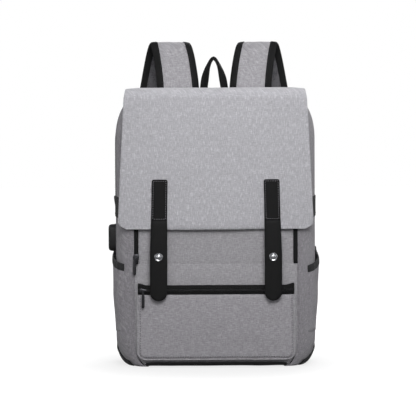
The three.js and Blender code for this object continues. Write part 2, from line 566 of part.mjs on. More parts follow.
// ---- Leather straps -----------------------------------------------------------------
const strapX = -STRAP_SPACING / 2;
const tabInner = flapFront - GAP;
const tabOuter = tabInner - STRAP_THICKNESS;
const tabShape = new THREE.Shape();
const strapHalf = STRAP_WIDTH / 2;
tabShape.moveTo(strapX - strapHalf, STRAP_CREASE_Z);
tabShape.lineTo(strapX + strapHalf, STRAP_CREASE_Z);
tabShape.lineTo(strapX + strapHalf, STRAP_TOP_Z - STRAP_TOP_CORNER);
tabShape.lineTo(strapX + strapHalf - STRAP_TOP_CORNER, STRAP_TOP_Z);
tabShape.lineTo(strapX - strapHalf + STRAP_TOP_CORNER, STRAP_TOP_Z);
tabShape.lineTo(strapX - strapHalf, STRAP_TOP_Z - STRAP_TOP_CORNER);
addPair('strap_tab', slab(tabShape, tabOuter, tabInner), BLACK_LEATHER);

const tailShape = new THREE.Shape();
const tailTop = STRAP_CREASE_Z - FOLD_GAP;
tailShape.moveTo(strapX + strapHalf, tailTop);
tailShape.lineTo(strapX - strapHalf, tailTop);
tailShape.lineTo(strapX - strapHalf, STRAP_TIP_Z + strapHalf);
tailShape.absarc(strapX, STRAP_TIP_Z + strapHalf, strapHalf, Math.PI, Math.PI * 2, false);
const tailLength = STRAP_CREASE_Z - STRAP_TIP_Z;
const leanAt = (z) => STRAP_LEAN * Math.min(1, Math.max(0, (tailTop - z) / tailLength));
const tailSides = profile([
  [tabOuter, tailTop], [tabInner, tailTop],
  [tabInner - STRAP_LEAN, STRAP_TIP_Z - 1], [tabOuter - STRAP_LEAN, STRAP_TIP_Z - 1],
], strapX - strapHalf - 1, strapX + strapHalf + 1);
addPair('strap_tail', slab(tailShape, -FAR, FAR, 8).intersect(tailSides), BLACK_LEATHER);

// Snap fastener: cap outside and socket ring inside the strap, stud on the front panel.
const snapOuterY = tabOuter - leanAt(SNAP_Z) - GAP;
const snapInnerY = tabInner - leanAt(SNAP_Z) + GAP;
addPair('snap_cap', turned([
  [0, 0], [SNAP_RADIUS, 0], [SNAP_RADIUS, 0.7], [SNAP_RADIUS - 0.8, 1.3],
  [SNAP_RADIUS * 0.62, 1.1], [SNAP_RADIUS * 0.5, 1.9], [SNAP_RADIUS * 0.25, SNAP_CAP_HEIGHT],
  [0, SNAP_CAP_HEIGHT],
], strapX, snapOuterY, SNAP_Z), CHROME);
addPair('snap_socket', turned([
  [SOCKET_RING_HOLE, 0], [SOCKET_RING_RADIUS, 0], [SOCKET_RING_RADIUS, SOCKET_RING_HEIGHT],
  [SOCKET_RING_HOLE, SOCKET_RING_HEIGHT], [SOCKET_RING_HOLE, 0],
], strapX, snapInnerY + SOCKET_RING_HEIGHT, SNAP_Z), CHROME);
const studLength = FACE_Y - GAP - (snapInnerY + 2 * GAP);
addPair('snap_stud', turned([
  [0, 0], [STUD_FLANGE, 0], [STUD_FLANGE, STUD_FLANGE_HEIGHT], [STUD_RADIUS, STUD_FLANGE_HEIGHT + 0.4],
  [STUD_RADIUS, studLength - STUD_ROUNDING], [STUD_RADIUS - STUD_ROUNDING, studLength], [0, studLength],
], strapX, FACE_Y - GAP, SNAP_Z), CHROME);

// ---- Zip sliders --------------------------------------------------------------------
// A slider body with its long side along Z, its back at y = 0 and its front at -Y.
function sliderBody() {
  const shape = new THREE.Shape();
  const half = SLIDER_WIDTH / 2;
  const length = SLIDER_LENGTH / 2;
  shape.moveTo(-half * 0.6, -length);
  shape.lineTo(half * 0.6, -length);
  shape.lineTo(half, -length * 0.2);
  shape.lineTo(half, length * 0.7);
  shape.lineTo(half * 0.7, length);
  shape.lineTo(-half * 0.7, length);
  shape.lineTo(-half, length * 0.7);
  shape.lineTo(-half, -length * 0.2);
  return slab(shape, -SLIDER_HEIGHT, 0);
}
// A flat puller that hangs down from z = 0, with its back at y = 0.
function pullerBody(length) {
  const half = PULLER_WIDTH / 2;
  const shape = new THREE.Shape();
  shape.moveTo(-half * 0.8, 0);
  shape.lineTo(-half, -length + half);
  shape.absarc(0, -length + half, half, Math.PI, Math.PI * 2, false);
  shape.lineTo(half * 0.8, 0);
  const hole = new THREE.Path();
  hole.absarc(0, -length + half + 0.3, half * 0.4, 0, Math.PI * 2, true);
  shape.holes.push(hole);
  return slab(shape, -PULLER_THICKNESS, 0, 5);
}
const frontZipX = -FACE_WIDTH / 2 + FRONT_ZIP_TAPE / 2;
const frontSliderZ = FRONT_ZIP_END_Z + SLIDER_LENGTH / 2 + 1;
add('front_slider', sliderBody().translate([frontZipX, FACE_Y - GAP, frontSliderZ]), BLACK_METAL);
add('front_puller', pullerBody(FRONT_PULLER_LENGTH)
  .translate([frontZipX - 2, FACE_Y - GAP - SLIDER_HEIGHT - GAP, frontSliderZ + 1]), BLACK_METAL);

const pocketSliderX = -POCKET_WIDTH / 2 + SLIDER_LENGTH / 2 + 1.5;
const pocketSliderZ = POCKET_TOP + POCKET_ZIP_HEIGHT / 2;
add('pocket_slider', sliderBody().rotate([0, 90, 0])
  .translate([pocketSliderX, pocketFront - GAP, pocketSliderZ]), BLACK_METAL);
add('pocket_puller', pullerBody(PULLER_LENGTH)
  .translate([pocketSliderX, pocketFront - GAP - SLIDER_HEIGHT - GAP, pocketSliderZ + 1]), BLACK_METAL);

// The main zip's two sliders meet at the top; each carries its puller lying along the zip.
const topSlider = sliderBody().add(
  pullerBody(PULLER_LENGTH).translate([0, -SLIDER_HEIGHT + 0.2, 2]));
const topSliderX = -SLIDER_LENGTH / 2 - 0.5;
addPair('main_slider', topSlider.rotate([-90, 0, 0]).rotate([0, 0, -90])
  .translate([topSliderX, zipFrontY + ZIP_TAPE / 2, BODY_HEIGHT + GAP]), BLACK_METAL);

// ---- Back of the bag ----------------------------------------------------------------
// A pillow with chamfered rim, sewn flat on the back panel.
function pad(x0, x1, z0, z1) {
  const half = (x1 - x0) / 2;
  const shape = archShape(
    half - PAD_CHAMFER, PAD_CHAMFER, z1 - z0 - PAD_CHAMFER, PAD_CORNER, PAD_CORNER, PAD_CORNER);
  const geometry = new THREE.ExtrudeGeometry(shape, {
    depth: PAD_THICKNESS - PAD_CHAMFER, bevelEnabled: true, bevelThickness: PAD_CHAMFER, bevelSize: PAD_CHAMFER,
    bevelSegments: 2, curveSegments: 4,
  });
  geometry.rotateX(Math.PI / 2);
  geometry.rotateZ(Math.PI);
  geometry.translate((x0 + x1) / 2, BACK_Y + GAP, z0);
  return solid(geometry).intersect(block(-FAR, FAR, BACK_Y + GAP, FAR, -FAR, FAR));
}
addPair('back_pad', pad(-PAD_OUTER, -PAD_GAP_HALF, BACK_PAD_BOTTOM, BACK_PAD_TOP), MESH);
addPair('lumbar_pad', pad(-PAD_OUTER, -PAD_GAP_HALF, LUMBAR_BOTTOM, LUMBAR_TOP), MESH);

const trolleyOut = BACK_Y + TROLLEY_ROOM;
const trolley = block(
  -TROLLEY_HALF, TROLLEY_HALF, BACK_Y + GAP, trolleyOut + TROLLEY_SKIN, TROLLEY_BOTTOM, TROLLEY_TOP)
  .subtract(block(
    -TROLLEY_HALF + TROLLEY_FOOT, TROLLEY_HALF - TROLLEY_FOOT, 0, trolleyOut, 0, FAR));
add('trolley_sleeve', trolley, GREY);
// Reinforcing band with the two sewn-in ends of the shoulder straps standing on it.
const stubBack = SHOULDER_LINE[0][1] + SHOULDER_THICKNESS / 2;
const strapStub = block(STUB_X - SHOULDER_WIDTH / 2, STUB_X + SHOULDER_WIDTH / 2,
  BACK_Y + STUB_STAND_OFF, stubBack, STUB_BOTTOM, STUB_TOP);
const yokeFront = BACK_Y + GAP;
const bridge = block(STUB_X - SHOULDER_WIDTH / 2, STUB_X + SHOULDER_WIDTH / 2,
  yokeFront, stubBack, STUB_BOTTOM, YOKE_TOP);
const yokeHalf = -STUB_X + SHOULDER_WIDTH / 2 + YOKE_MARGIN;
const yoke = block(-yokeHalf, yokeHalf, yokeFront, yokeFront + YOKE_THICKNESS, YOKE_BOTTOM, YOKE_TOP)
  .add(strapStub).add(mirrored(strapStub)).add(bridge).add(mirrored(bridge));
add('strap_yoke', yoke, BLACK_CLOTH);

// Carrying handle: webbing on edge, bent into an arch between its two feet.
const handleRise = HANDLE_TOP - HANDLE_THICKNESS / 2 - HANDLE_BASE_Z;
const handleLine = [];
const HANDLE_POINTS = 13;
for (let i = 0; i < HANDLE_POINTS; i += 1) {
  const turn = Math.PI * (i / (HANDLE_POINTS - 1));
  const widthHere = Math.sign(Math.cos(turn)) * Math.abs(Math.cos(turn)) ** HANDLE_NARROWING;
  handleLine.push([
    -HANDLE_HALF_SPAN * widthHere, HANDLE_Y, HANDLE_BASE_Z + handleRise * Math.sin(turn)]);
}
add('top_handle', ribbon(handleLine, HANDLE_WIDTH, HANDLE_THICKNESS, {
  segments: 20, across: new THREE.Vector3(0, 1, 0),
}), BLACK_CLOTH);

// ---- Shoulder straps ----------------------------------------------------------------
const padWidth = SHOULDER_WIDTH - 2 * BINDING_WIDTH;
const shoulderPad = ribbon(SHOULDER_LINE, padWidth, SHOULDER_THICKNESS,
  { endWidth: SHOULDER_END_WIDTH, to: SHOULDER_PAD_END });
addPair('shoulder_pad', shoulderPad, GREY);
const binding = ribbon(SHOULDER_LINE, SHOULDER_WIDTH, SHOULDER_THICKNESS * 0.6,
  { endWidth: SHOULDER_END_WIDTH })
  .subtract(ribbon(SHOULDER_LINE, padWidth + 2 * GAP, SHOULDER_THICKNESS * 2,
    { endWidth: SHOULDER_END_WIDTH, to: SHOULDER_PAD_END + 0.001, overrun: 5 }));
addPair('shoulder_binding', binding, BLACK_CLOTH);

// Ladder lock under the pad: a frame with one cross bar.
const lockWindow = (z0, z1) => block(
  -LOCK_WIDTH / 2 + LOCK_BAR, LOCK_WIDTH / 2 - LOCK_BAR, -FAR, FAR, z0, z1);
const lock = block(
  -LOCK_WIDTH / 2, LOCK_WIDTH / 2, -LOCK_THICKNESS / 2, LOCK_THICKNESS / 2, -LOCK_HEIGHT / 2, LOCK_HEIGHT / 2)
  .subtract(lockWindow(LOCK_BAR / 2, LOCK_HEIGHT / 2 - LOCK_BAR))
  .subtract(lockWindow(-LOCK_HEIGHT / 2 + LOCK_BAR, -LOCK_BAR / 2));
addPair('ladder_lock', lock.translate(LOCK_CENTRE), BLACK_PLASTIC);
const webbing = ribbon(WEB_LINE, WEB_WIDTH, WEB_THICKNESS, { segments: 10 })
  .intersect(block(-FAR, FAR, -FAR, FAR, FOOT_TOP + GAP, LOCK_CENTRE[2] - LOCK_HEIGHT / 2 - GAP));
addPair('webbing', webbing, BLACK_CLOTH);
addPair('webbing_tail', ribbon(WEB_TAIL_LINE, WEB_WIDTH, WEB_THICKNESS, { segments: 6 }), BLACK_CLOTH);

export default bag;
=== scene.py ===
import math

import bmesh
import bpy
from mathutils import Matrix, Vector, noise


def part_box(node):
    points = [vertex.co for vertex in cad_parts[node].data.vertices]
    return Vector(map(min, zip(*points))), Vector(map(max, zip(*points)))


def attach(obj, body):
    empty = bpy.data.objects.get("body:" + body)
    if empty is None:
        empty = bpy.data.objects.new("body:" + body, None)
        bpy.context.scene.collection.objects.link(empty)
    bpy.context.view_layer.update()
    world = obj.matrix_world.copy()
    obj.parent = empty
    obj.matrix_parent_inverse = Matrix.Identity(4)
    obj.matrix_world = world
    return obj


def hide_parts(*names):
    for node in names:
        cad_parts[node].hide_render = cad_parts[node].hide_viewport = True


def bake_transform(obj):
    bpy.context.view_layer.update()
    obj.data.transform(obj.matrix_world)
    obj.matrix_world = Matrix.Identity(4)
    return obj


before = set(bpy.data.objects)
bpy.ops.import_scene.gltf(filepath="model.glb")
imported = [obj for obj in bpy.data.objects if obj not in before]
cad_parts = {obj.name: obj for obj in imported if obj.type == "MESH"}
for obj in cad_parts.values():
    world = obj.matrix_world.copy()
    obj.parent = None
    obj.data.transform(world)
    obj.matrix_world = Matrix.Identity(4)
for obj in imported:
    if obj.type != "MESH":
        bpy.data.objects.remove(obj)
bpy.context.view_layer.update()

# ---- Studio ---------------------------------------------------------------------------
# A plain pale floor under a white sky, a broad soft light high in front of the bag, and
# weaker ones at the sides and behind. The camera stands far off, a little above the middle.
scene = bpy.context.scene
scene.view_settings.view_transform = "Standard"
MM = 0.001

CAMERA_AT = Vector((-26.8, -2652.0, 277.2)) * MM
CAMERA_TURN, CAMERA_RISE, CAMERA_ROLL = (math.radians(a) for a in (-0.344, 1.008, -0.2555))
camera = bpy.data.objects.new("camera", bpy.data.cameras.new("camera"))
camera.data.lens = 153.3
camera.data.sensor_width = 36
scene.collection.objects.link(camera)
scene.camera = camera
camera_back = Vector((math.sin(CAMERA_TURN) * math.cos(CAMERA_RISE),
                      -math.cos(CAMERA_TURN) * math.cos(CAMERA_RISE), math.sin(CAMERA_RISE)))
camera_right = Vector((0, 0, 1)).cross(camera_back).normalized()
camera_up = camera_back.cross(camera_right)
roll = Matrix.Rotation(CAMERA_ROLL, 3, camera_back)
axes = Matrix((roll @ camera_right, roll @ camera_up, camera_back)).transposed()
camera.matrix_world = Matrix.Translation(CAMERA_AT) @ axes.to_4x4()


def node(tree, kind, inputs=None, **settings):
    """A shader node with its settings, and each input as a value or as the socket that feeds it."""
    made = tree.nodes.new("ShaderNode" + kind)
    for key, value in settings.items():
        setattr(made, key, value)
    for key, value in (inputs or {}).items():
        if isinstance(value, bpy.types.NodeSocket):
            tree.links.new(value, made.inputs[key])
        else:
            made.inputs[key].default_value = value
    return made


def sky():
    """White where the camera sees it, and a softer white as the light on the bag."""
    world = bpy.data.worlds.new("sky")
    world.use_nodes = True
    tree = world.node_tree
    tree.nodes.clear()
    seen = node(tree, "Background", {"Color": (1, 1, 1, 1), "Strength": 1.0})
    lit = node(tree, "Background", {"Color": (0.97, 0.98, 1, 1), "Strength": SKY_LIGHT})
    ray = node(tree, "LightPath").outputs["Is Camera Ray"]
    both = node(tree, "MixShader", {0: ray, 1: lit.outputs[0], 2: seen.outputs[0]})
    node(tree, "OutputWorld", {"Surface": both.outputs[0]})
    return world


SKY_LIGHT = 0.3
scene.world = sky()


def softbox(name, place, aim, size, watts, beam=180):
    lamp = bpy.data.lights.new(name, "AREA")
    lamp.size = size
    lamp.spread = math.radians(beam)
    lamp.energy = watts
    light = bpy.data.objects.new(name, lamp)
    scene.collection.objects.link(light)
    light.location = place
    light.rotation_mode = "QUATERNION"
    light.rotation_quaternion = (Vector(aim) - Vector(place)).to_track_quat("-Z", "Y")


softbox("key_light", (0.12, -1.15, 1.0), (0.02, 0, 0.43), 0.7, 2.9, 80)
softbox("front_light", (-0.3, -2.2, 0.45), (0, 0, 0.28), 1.6, 6.2)
softbox("left_light", (-1.7, 0.1, 0.8), (0, 0, 0.25), 1.2, 6)
softbox("right_light", (1.7, 0.1, 0.8), (0, 0, 0.25), 1.2, 8)
softbox("rear_light", (0.3, 1.7, 1.1), (0, 0, 0.25), 1.2, 18)


def floor_paint():
    """Pale paint with a faint mottle; its glow for the camera is dimmed near the bag, a painted soft shadow.
    """
    paint = bpy.data.materials.new("floor paint")
    paint.use_nodes = True
    tree = paint.node_tree
    shader = tree.nodes["Principled BSDF"]
    mottle = node(tree, "TexNoise", {"Scale": 3.0, "Detail": 4.0})
    tone = node(tree, "MapRange", {"Value": mottle.outputs["Fac"], "To Min": 0.17, "To Max": 0.2})
    tree.links.new(tone.outputs[0], shader.inputs["Base Color"])
    shader.inputs["Roughness"].default_value = 0.9
    shader.inputs["Emission Color"].default_value = (1, 1, 1, 1)
    glow = node(tree, "LightPath").outputs["Is Camera Ray"]
    # Painted shadow: the glow the camera sees falls from 0.98 to 0.74 within 0.34 m of the bag's centre.
    off = node(tree, "VectorMath", {0: node(tree, "TexCoord").outputs["Object"]}, operation="LENGTH")
    reach = node(tree, "MapRange", {"Value": off.outputs["Value"], "From Min": 0.12, "From Max": 0.34,
                                    "To Min": 0.74, "To Max": 0.98}, interpolation_type="SMOOTHSTEP")
    camera_glow_with_painted_shadow = node(tree, "Math", {0: glow, 1: reach.outputs["Result"]}, operation="MULTIPLY")
    tree.links.new(camera_glow_with_painted_shadow.outputs[0], shader.inputs["Emission Strength"])
    return paint


FLOOR_REACH = 40
floor_mesh = bpy.data.meshes.new("floor")
floor_mesh.from_pydata([(x * FLOOR_REACH, y * FLOOR_REACH, -0.0006) for x, y in
                        ((-1, -1), (1, -1), (1, 1), (-1, 1))], [], [(0, 1, 2, 3)])
floor_mesh.materials.append(floor_paint())
floor = bpy.data.objects.new("floor", floor_mesh)
scene.collection.objects.link(floor)

# ---- Back panel and gussets -----------------------------------------------------------
# Polyester heather cloth over thin foam, cut as panels and sewn edge to edge. Each panel
# swells a little between its seams and puckers in along them. The base closes it below.


def group_tree(name, inputs, outputs):
    """An empty node group: inputs as {name: default}, outputs as {name: float or colour}."""
    tree = bpy.data.node_groups.new(name, "ShaderNodeTree")
    kinds = {True: "NodeSocketColor", False: "NodeSocketFloat"}
    for label, default in inputs.items():
        socket = tree.interface.new_socket(
            label, in_out="INPUT", socket_type=kinds[hasattr(default, "__len__")])
        socket.default_value = default
    for label, is_colour in outputs.items():
        tree.interface.new_socket(label, in_out="OUTPUT", socket_type=kinds[is_colour])
    return tree, tree.nodes.new("NodeGroupInput").outputs, tree.nodes.new("NodeGroupOutput").inputs


def reckon(tree, operation, a, b=0.0, c=0.0):
    return node(tree, "Math", {0: a, 1: b, 2: c}, operation=operation).outputs[0]


def blend_colours(tree, share, a, b, how="MIX"):
    mix = node(tree, "Mix", data_type="RGBA", blend_type=how)
    for index, value in ((0, share), (6, a), (7, b)):
        if isinstance(value, bpy.types.NodeSocket):
            tree.links.new(value, mix.inputs[index])
        else:
            mix.inputs[index].default_value = value
    return mix.outputs[2]


def cloth_directions(tree):
    """Two coordinates in metres, across and along, that differ on any upright or level panel."""
    place = node(tree, "TexCoord").outputs["Object"]
    split = node(tree, "SeparateXYZ", {0: place}).outputs
    return reckon(tree, "ADD", split[0], split[1]), reckon(tree, "SUBTRACT", split[2], split[1])


def streaks(tree, across, along, across_density, along_density, low, high):
    """A mask of short streaks: noise that is finer one way than the other."""
    at = node(tree, "CombineXYZ", {0: reckon(tree, "MULTIPLY", across, across_density),
                                   1: reckon(tree, "MULTIPLY", along, along_density)})
    grain = node(tree, "TexNoise", {"Vector": at.outputs[0], "Scale": 1.0, "Detail": 2.0, "Roughness": 0.6})
    spread = node(tree, "MapRange", {"Value": grain.outputs["Fac"], "From Min": low, "From Max": high})
    return spread.outputs[0]


def woven_cloth():
    """Plain weave with thick-and-thin yarns: light ones along it and dark ones across."""
    tree, given, out = group_tree("woven cloth", {
        "Yarn": (0.4, 0.4, 0.4, 1), "Light slub": (0.6, 0.6, 0.6, 1), "Dark slub": (0.2, 0.2, 0.2, 1),
        "Slub amount": 0.6, "Streaks upright": 1.0, "Threads per metre": 1300.0,
    }, {"Colour": True, "Roughness": False, "Height": False})
    across, along = cloth_directions(tree)
    upright = streaks(tree, across, along, 900, 120, 0.48, 0.68)
    level = streaks(tree, across, along, 130, 950, 0.48, 0.68)
    shadow_up = streaks(tree, across, along, 820, 190, 0.22, 0.5)
    shadow_level = streaks(tree, across, along, 210, 860, 0.22, 0.5)
    turn = given["Streaks upright"]
    rest = reckon(tree, "SUBTRACT", 1.0, turn)
    light = reckon(tree, "ADD", reckon(tree, "MULTIPLY", upright, turn),
                   reckon(tree, "MULTIPLY", level, rest))
    light_other = reckon(tree, "ADD", reckon(tree, "MULTIPLY", level, turn),
                         reckon(tree, "MULTIPLY", upright, rest))
    lit = reckon(tree, "MULTIPLY_ADD", light_other, 0.45, light)
    lit = reckon(tree, "MULTIPLY", lit, given["Slub amount"])
    dark = reckon(tree, "SUBTRACT", 2.0, reckon(tree, "ADD", shadow_up, shadow_level))
    dark = reckon(tree, "MULTIPLY", reckon(tree, "MULTIPLY", dark, given["Slub amount"]), 0.7)
    cloudy = node(tree, "TexNoise", {"Scale": 22.0, "Detail": 3.0})
    cloud = node(tree, "MapRange", {"Value": cloudy.outputs["Fac"], "To Min": 0.93, "To Max": 1.07})
    colour = blend_colours(tree, lit, given["Yarn"], given["Light slub"])
    colour = blend_colours(tree, dark, colour, given["Dark slub"])
    shade = node(tree, "CombineXYZ", {0: cloud.outputs[0], 1: cloud.outputs[0], 2: cloud.outputs[0]})
    colour = blend_colours(tree, 1.0, colour, shade.outputs[0], "MULTIPLY")
    tree.links.new(colour, out["Colour"])
    cycles = reckon(tree, "MULTIPLY", given["Threads per metre"], math.tau)
    over = reckon(tree, "SINE", reckon(tree, "MULTIPLY", across, cycles))
    under = reckon(tree, "SINE", reckon(tree, "MULTIPLY", along, cycles))
    weave = reckon(tree, "MULTIPLY_ADD", reckon(tree, "MULTIPLY", over, under), 0.35, 0.5)
    tree.links.new(reckon(tree, "MULTIPLY_ADD", lit, 0.5, weave), out["Height"])
    tree.links.new(reckon(tree, "MULTIPLY_ADD", lit, -0.12, 0.9), out["Roughness"])
    return tree


def linear(colour):
    """A colour from 0xRRGGBB as the shader's own numbers."""
    parts = [(colour >> shift & 255) / 255 for shift in (16, 8, 0)]
    return (*(p / 12.92 if p <= 0.04045 else ((p + 0.055) / 1.055) ** 2.4 for p in parts), 1)


def finish_look(name, tree_of, values, bump, **shader_values):
    """A material from one node group's colour, roughness and height, with plain shader numbers."""
    look = bpy.data.materials.new(name)
    look.use_nodes = True
    tree = look.node_tree
    shader = tree.nodes["Principled BSDF"]
    made = tree.nodes.new("ShaderNodeGroup")
    made.node_tree = tree_of
    for label, value in values.items():
        made.inputs[label].default_value = value
    tree.links.new(made.outputs["Colour"], shader.inputs["Base Color"])
    tree.links.new(made.outputs["Roughness"], shader.inputs["Roughness"])
    raised = node(tree, "Bump", {
        "Height": made.outputs["Height"], "Distance": bump * MM, "Strength": 1.0})
    tree.links.new(raised.outputs[0], shader.inputs["Normal"])
    for label, value in shader_values.items():
        shader.inputs[label.replace("_", " ")].default_value = value
    return look


WOVEN = woven_cloth()


def heather(name, colour, light, dark, upright, amount=0.6):
    return finish_look(name, WOVEN, {
        "Yarn": linear(colour), "Light slub": linear(light), "Dark slub": linear(dark),
        "Slub amount": amount, "Streaks upright": upright,
    }, 0.22, Sheen_Weight=0.25, Sheen_Roughness=0.5, Specular_IOR_Level=0.2)


# The heather cloth is one fabric given in lit and shaded copies. The gusset copy is painted darker, for the
# shade on the side, back and rear panels that face away from the light.
heather_shaded_gusset = heather("heather cloth gusset, shaded copy", 0x8C898E, 0xB2B0B4, 0x605E62, 0.7)
# The front copy is painted a little darker than the flap's, for the weaker light lower on the front.
heather_shaded_front = heather("heather cloth front, shaded copy", 0xA3A1A5, 0xCCCACE, 0x757378, 0.3)
black_cloth = finish_look("black oxford cloth", WOVEN, {
    "Yarn": linear(0x141415), "Light slub": linear(0x202022), "Dark slub": linear(0x0A0A0B),
    "Slub amount": 0.5, "Threads per metre": 1100.0,
}, 0.3, Sheen_Weight=0.15, Specular_IOR_Level=0.3)
lining_cloth = finish_look("lining taffeta", WOVEN, {
    "Yarn": linear(0x3A3A3D), "Light slub": linear(0x48484B), "Dark slub": linear(0x2A2A2C),
    "Slub amount": 0.4, "Threads per metre": 1700.0,
}, 0.12, Sheen_Weight=0.2)


def extent(name):
    """Lowest and highest corner of a CAD node in millimetres."""
    low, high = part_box(name)
    return low / MM, high / MM


def ripple(point, size, seed=0.0):
    """Smooth unevenness from about -1 to 1, in lumps of about that size."""
    return noise.noise(point / size + Vector((seed, seed * 0.7, seed * 1.3)))


def ease(x, low, high):
    """0 below low, 1 above high, smooth between."""
    t = min(1.0, max(0.0, (x - low) / (high - low)))
    return t * t * (3 - 2 * t)


def spaced(low, high, count):
    return [low + (high - low) * i / (count - 1) for i in range(count)]


def build(name, points, faces, looks, indices=None, crisp=35):
    """A mesh piece from points in millimetres, its faces turned outwards and smooth."""
    mesh = bpy.data.meshes.new(name)
    mesh.from_pydata([Vector(p) * MM for p in points], [], faces)
    for look in looks:
        mesh.materials.append(look)
    if indices:
        mesh.polygons.foreach_set("material_index", indices)
    form = bmesh.new()
    form.from_mesh(mesh)
    bmesh.ops.recalc_face_normals(form, faces=form.faces)
    form.to_mesh(mesh)
    form.free()
    mesh.polygons.foreach_set("use_smooth", [True] * len(mesh.polygons))
    mesh.set_sharp_from_angle(angle=math.radians(crisp))
    obj = bpy.data.objects.new(name, mesh)
    scene.collection.objects.link(obj)
    return obj


def place(obj, body, slot, *nodes):
    """Puts a finished piece on its body and hides the solids that it stands for; slot is not used."""
    if body:
        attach(obj, body)
    if nodes:
        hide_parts(*nodes)
    return obj


BAG_CENTRE = Vector((0, 0, 200))


def from_bag(point):
    return point - BAG_CENTRE


def cloth(name, rows, thickness, looks, facing=from_bag):
    """A cloth panel through rows of points, as a closed sheet with soft edges. The first look
    is for the side that faces the way facing() says, and the last for the other side."""
    height, width = len(rows), len(rows[0])
    flat = [Vector(p) for row in rows for p in row]
    outs = []
    for r in range(height):
        for c in range(width):
            down = flat[min(r + 1, height - 1) * width + c] - flat[max(r - 1, 0) * width + c]
            side = flat[r * width + min(c + 1, width - 1)] - flat[r * width + max(c - 1, 0)]
            out = side.cross(down)
            outs.append(out.normalized() if out.length > 1e-6 else facing(flat[r * width + c]).normalized())
    vote = sum(1 if out.dot(facing(p)) > 0 else -1 for out, p in zip(outs, flat))
    if vote < 0:
        outs = [-out for out in outs]
    count = len(flat)
    points = [p + out * thickness / 2 for p, out in zip(flat, outs)]
    points += [p - out * thickness / 2 for p, out in zip(flat, outs)]
    faces = []
    for r in range(height - 1):
        for c in range(width - 1):
            a = r * width + c
            faces.append((a, a + 1, a + 1 + width, a + width))
    inner = [tuple(count + i for i in reversed(face)) for face in faces]
    indices = [0] * len(faces) + [len(looks) - 1] * len(inner)
    faces += inner
    rim = [(0, c) for c in range(width)] + [(r, width - 1) for r in range(1, height)]
    rim += [(height - 1, c) for c in range(width - 2, -1, -1)] + [(r, 0) for r in range(height - 2, 0, -1)]
    for r, c in rim:
        inside = flat[min(max(r, 1), height - 2) * width + min(max(c, 1), width - 2)]
        here = flat[r * width + c]
        points.append(here + (here - inside).normalized() * thickness * 0.45)
    for i, (r, c) in enumerate(rim):
        j = (i + 1) % len(rim)
        a, b = r * width + c, rim[j][0] * width + rim[j][1]
        edge_a, edge_b = 2 * count + i, 2 * count + j
        faces += [(a, b, edge_b, edge_a), (edge_a, edge_b, count + b, count + a)]
        indices += [0, len(looks) - 1]
    return build(name, points, faces, looks, indices, 60)


back_high = extent("back_panel")[1]
BAG_HALF, BAG_TOP, BACK_Y = back_high.x, back_high.z, back_high.y
FACE_Y = extent("front_panel")[0].y
face_high = extent("front_zip_tape")[1]
FACE_HALF, FACE_TOP = face_high.x, face_high.z
SEAM_Y = extent("compartment_divider")[0].y
BASE_HALF = extent("base_panel")[1].x
TOP_CORNER_ACROSS, TOP_CORNER_UP = 36, 62
BOTTOM_ACROSS, BOTTOM_UP = 21, 42
CORNER_STEPS = 10
OUTLINE_STEP = 7.0
PANEL_THICKNESS = 2.2


def arch(half, top, across, up):
    """The bag's outline from the base's right end, up, over the top and down to its left end."""
    side = [(BASE_HALF, 0.6)]
    for i in range(CORNER_STEPS + 1):
        turn = math.pi / 2 * i / CORNER_STEPS
        side.append((half - BOTTOM_ACROSS + BOTTOM_ACROSS * math.sin(turn),
                     max(0.6, BOTTOM_UP - BOTTOM_UP * math.cos(turn))))
    straight = top - up - BOTTOM_UP
    count = round(straight / OUTLINE_STEP)
    side += [(half, BOTTOM_UP + straight * i / count) for i in range(1, count)]
    for i in range(CORNER_STEPS + 1):
        turn = math.pi / 2 * i / CORNER_STEPS
        side.append((half - across + across * math.cos(turn), top - up + up * math.sin(turn)))
    flat_half = half - across
    count = round(2 * flat_half / OUTLINE_STEP)
    over = [(flat_half - 2 * flat_half * i / count, top) for i in range(1, count)]
    return side + over + [(-x, z) for x, z in reversed(side)]


OUTLINE = arch(BAG_HALF, BAG_TOP, TOP_CORNER_ACROSS, TOP_CORNER_UP)


def on_form(x, z, y):
    """A point of the outline carried to depth y: straight behind the seam, rounding in before it."""
    if y >= SEAM_Y:
        return Vector((x, y, z))
    turn = math.asin(min(1.0, (SEAM_Y - y) / (SEAM_Y - FACE_Y)))
    narrow = 1 - (1 - FACE_HALF / BAG_HALF) * (1 - math.cos(turn))
    lower = 1 - (1 - FACE_TOP / BAG_TOP) * (1 - math.cos(turn))
    return Vector((x * narrow, y, z * lower))


def outward(x, z):
    """The way out of the bag's side or top at a point of its outline."""
    rise = max(0.0, z - (BAG_TOP - TOP_CORNER_UP)) / TOP_CORNER_UP
    reach = (abs(x) - (BAG_HALF - TOP_CORNER_ACROSS)) / TOP_CORNER_ACROSS
    across = math.copysign(max(0.0, reach), x)
    if z < BOTTOM_UP:
        low = 1 - z / BOTTOM_UP
        level = math.sqrt(max(0.0, 1 - low * low))
        return Vector((math.copysign(level / BOTTOM_ACROSS + 1e-6, x), 0, -low / BOTTOM_UP)).normalized()
    return Vector((across / TOP_CORNER_ACROSS, 0, rise / TOP_CORNER_UP)).normalized()


def pucker(distance, depth=1.5, width=3.5):
    """How far cloth dips beside a seam that is this far off."""
    return -depth * math.exp(-max(0.0, distance) / width)


def gusset(front, rear, crown, count, seed):
    """A strip of cloth round the bag, from one depth to the other, swelling by the crown."""
    rows = []
    for x, z in OUTLINE:
        y_front, y_rear = front(z), rear(z)
        row = []
        for y in spaced(y_front, y_rear, count):
            share = (y - y_front) / (y_rear - y_front)
            swell = crown * math.sin(math.pi * share) ** 0.7 * ease(z, 4, 40)
            swell += pucker(min(y - y_front, y_rear - y))
            point = on_form(x, z, y)
            swell += 0.9 * ripple(point, 46, seed) * math.sin(math.pi * share) * ease(z, 4, 30)
            row.append(point + outward(x, z) * (swell - PANEL_THICKNESS / 2))
        rows.append(row)
    return rows


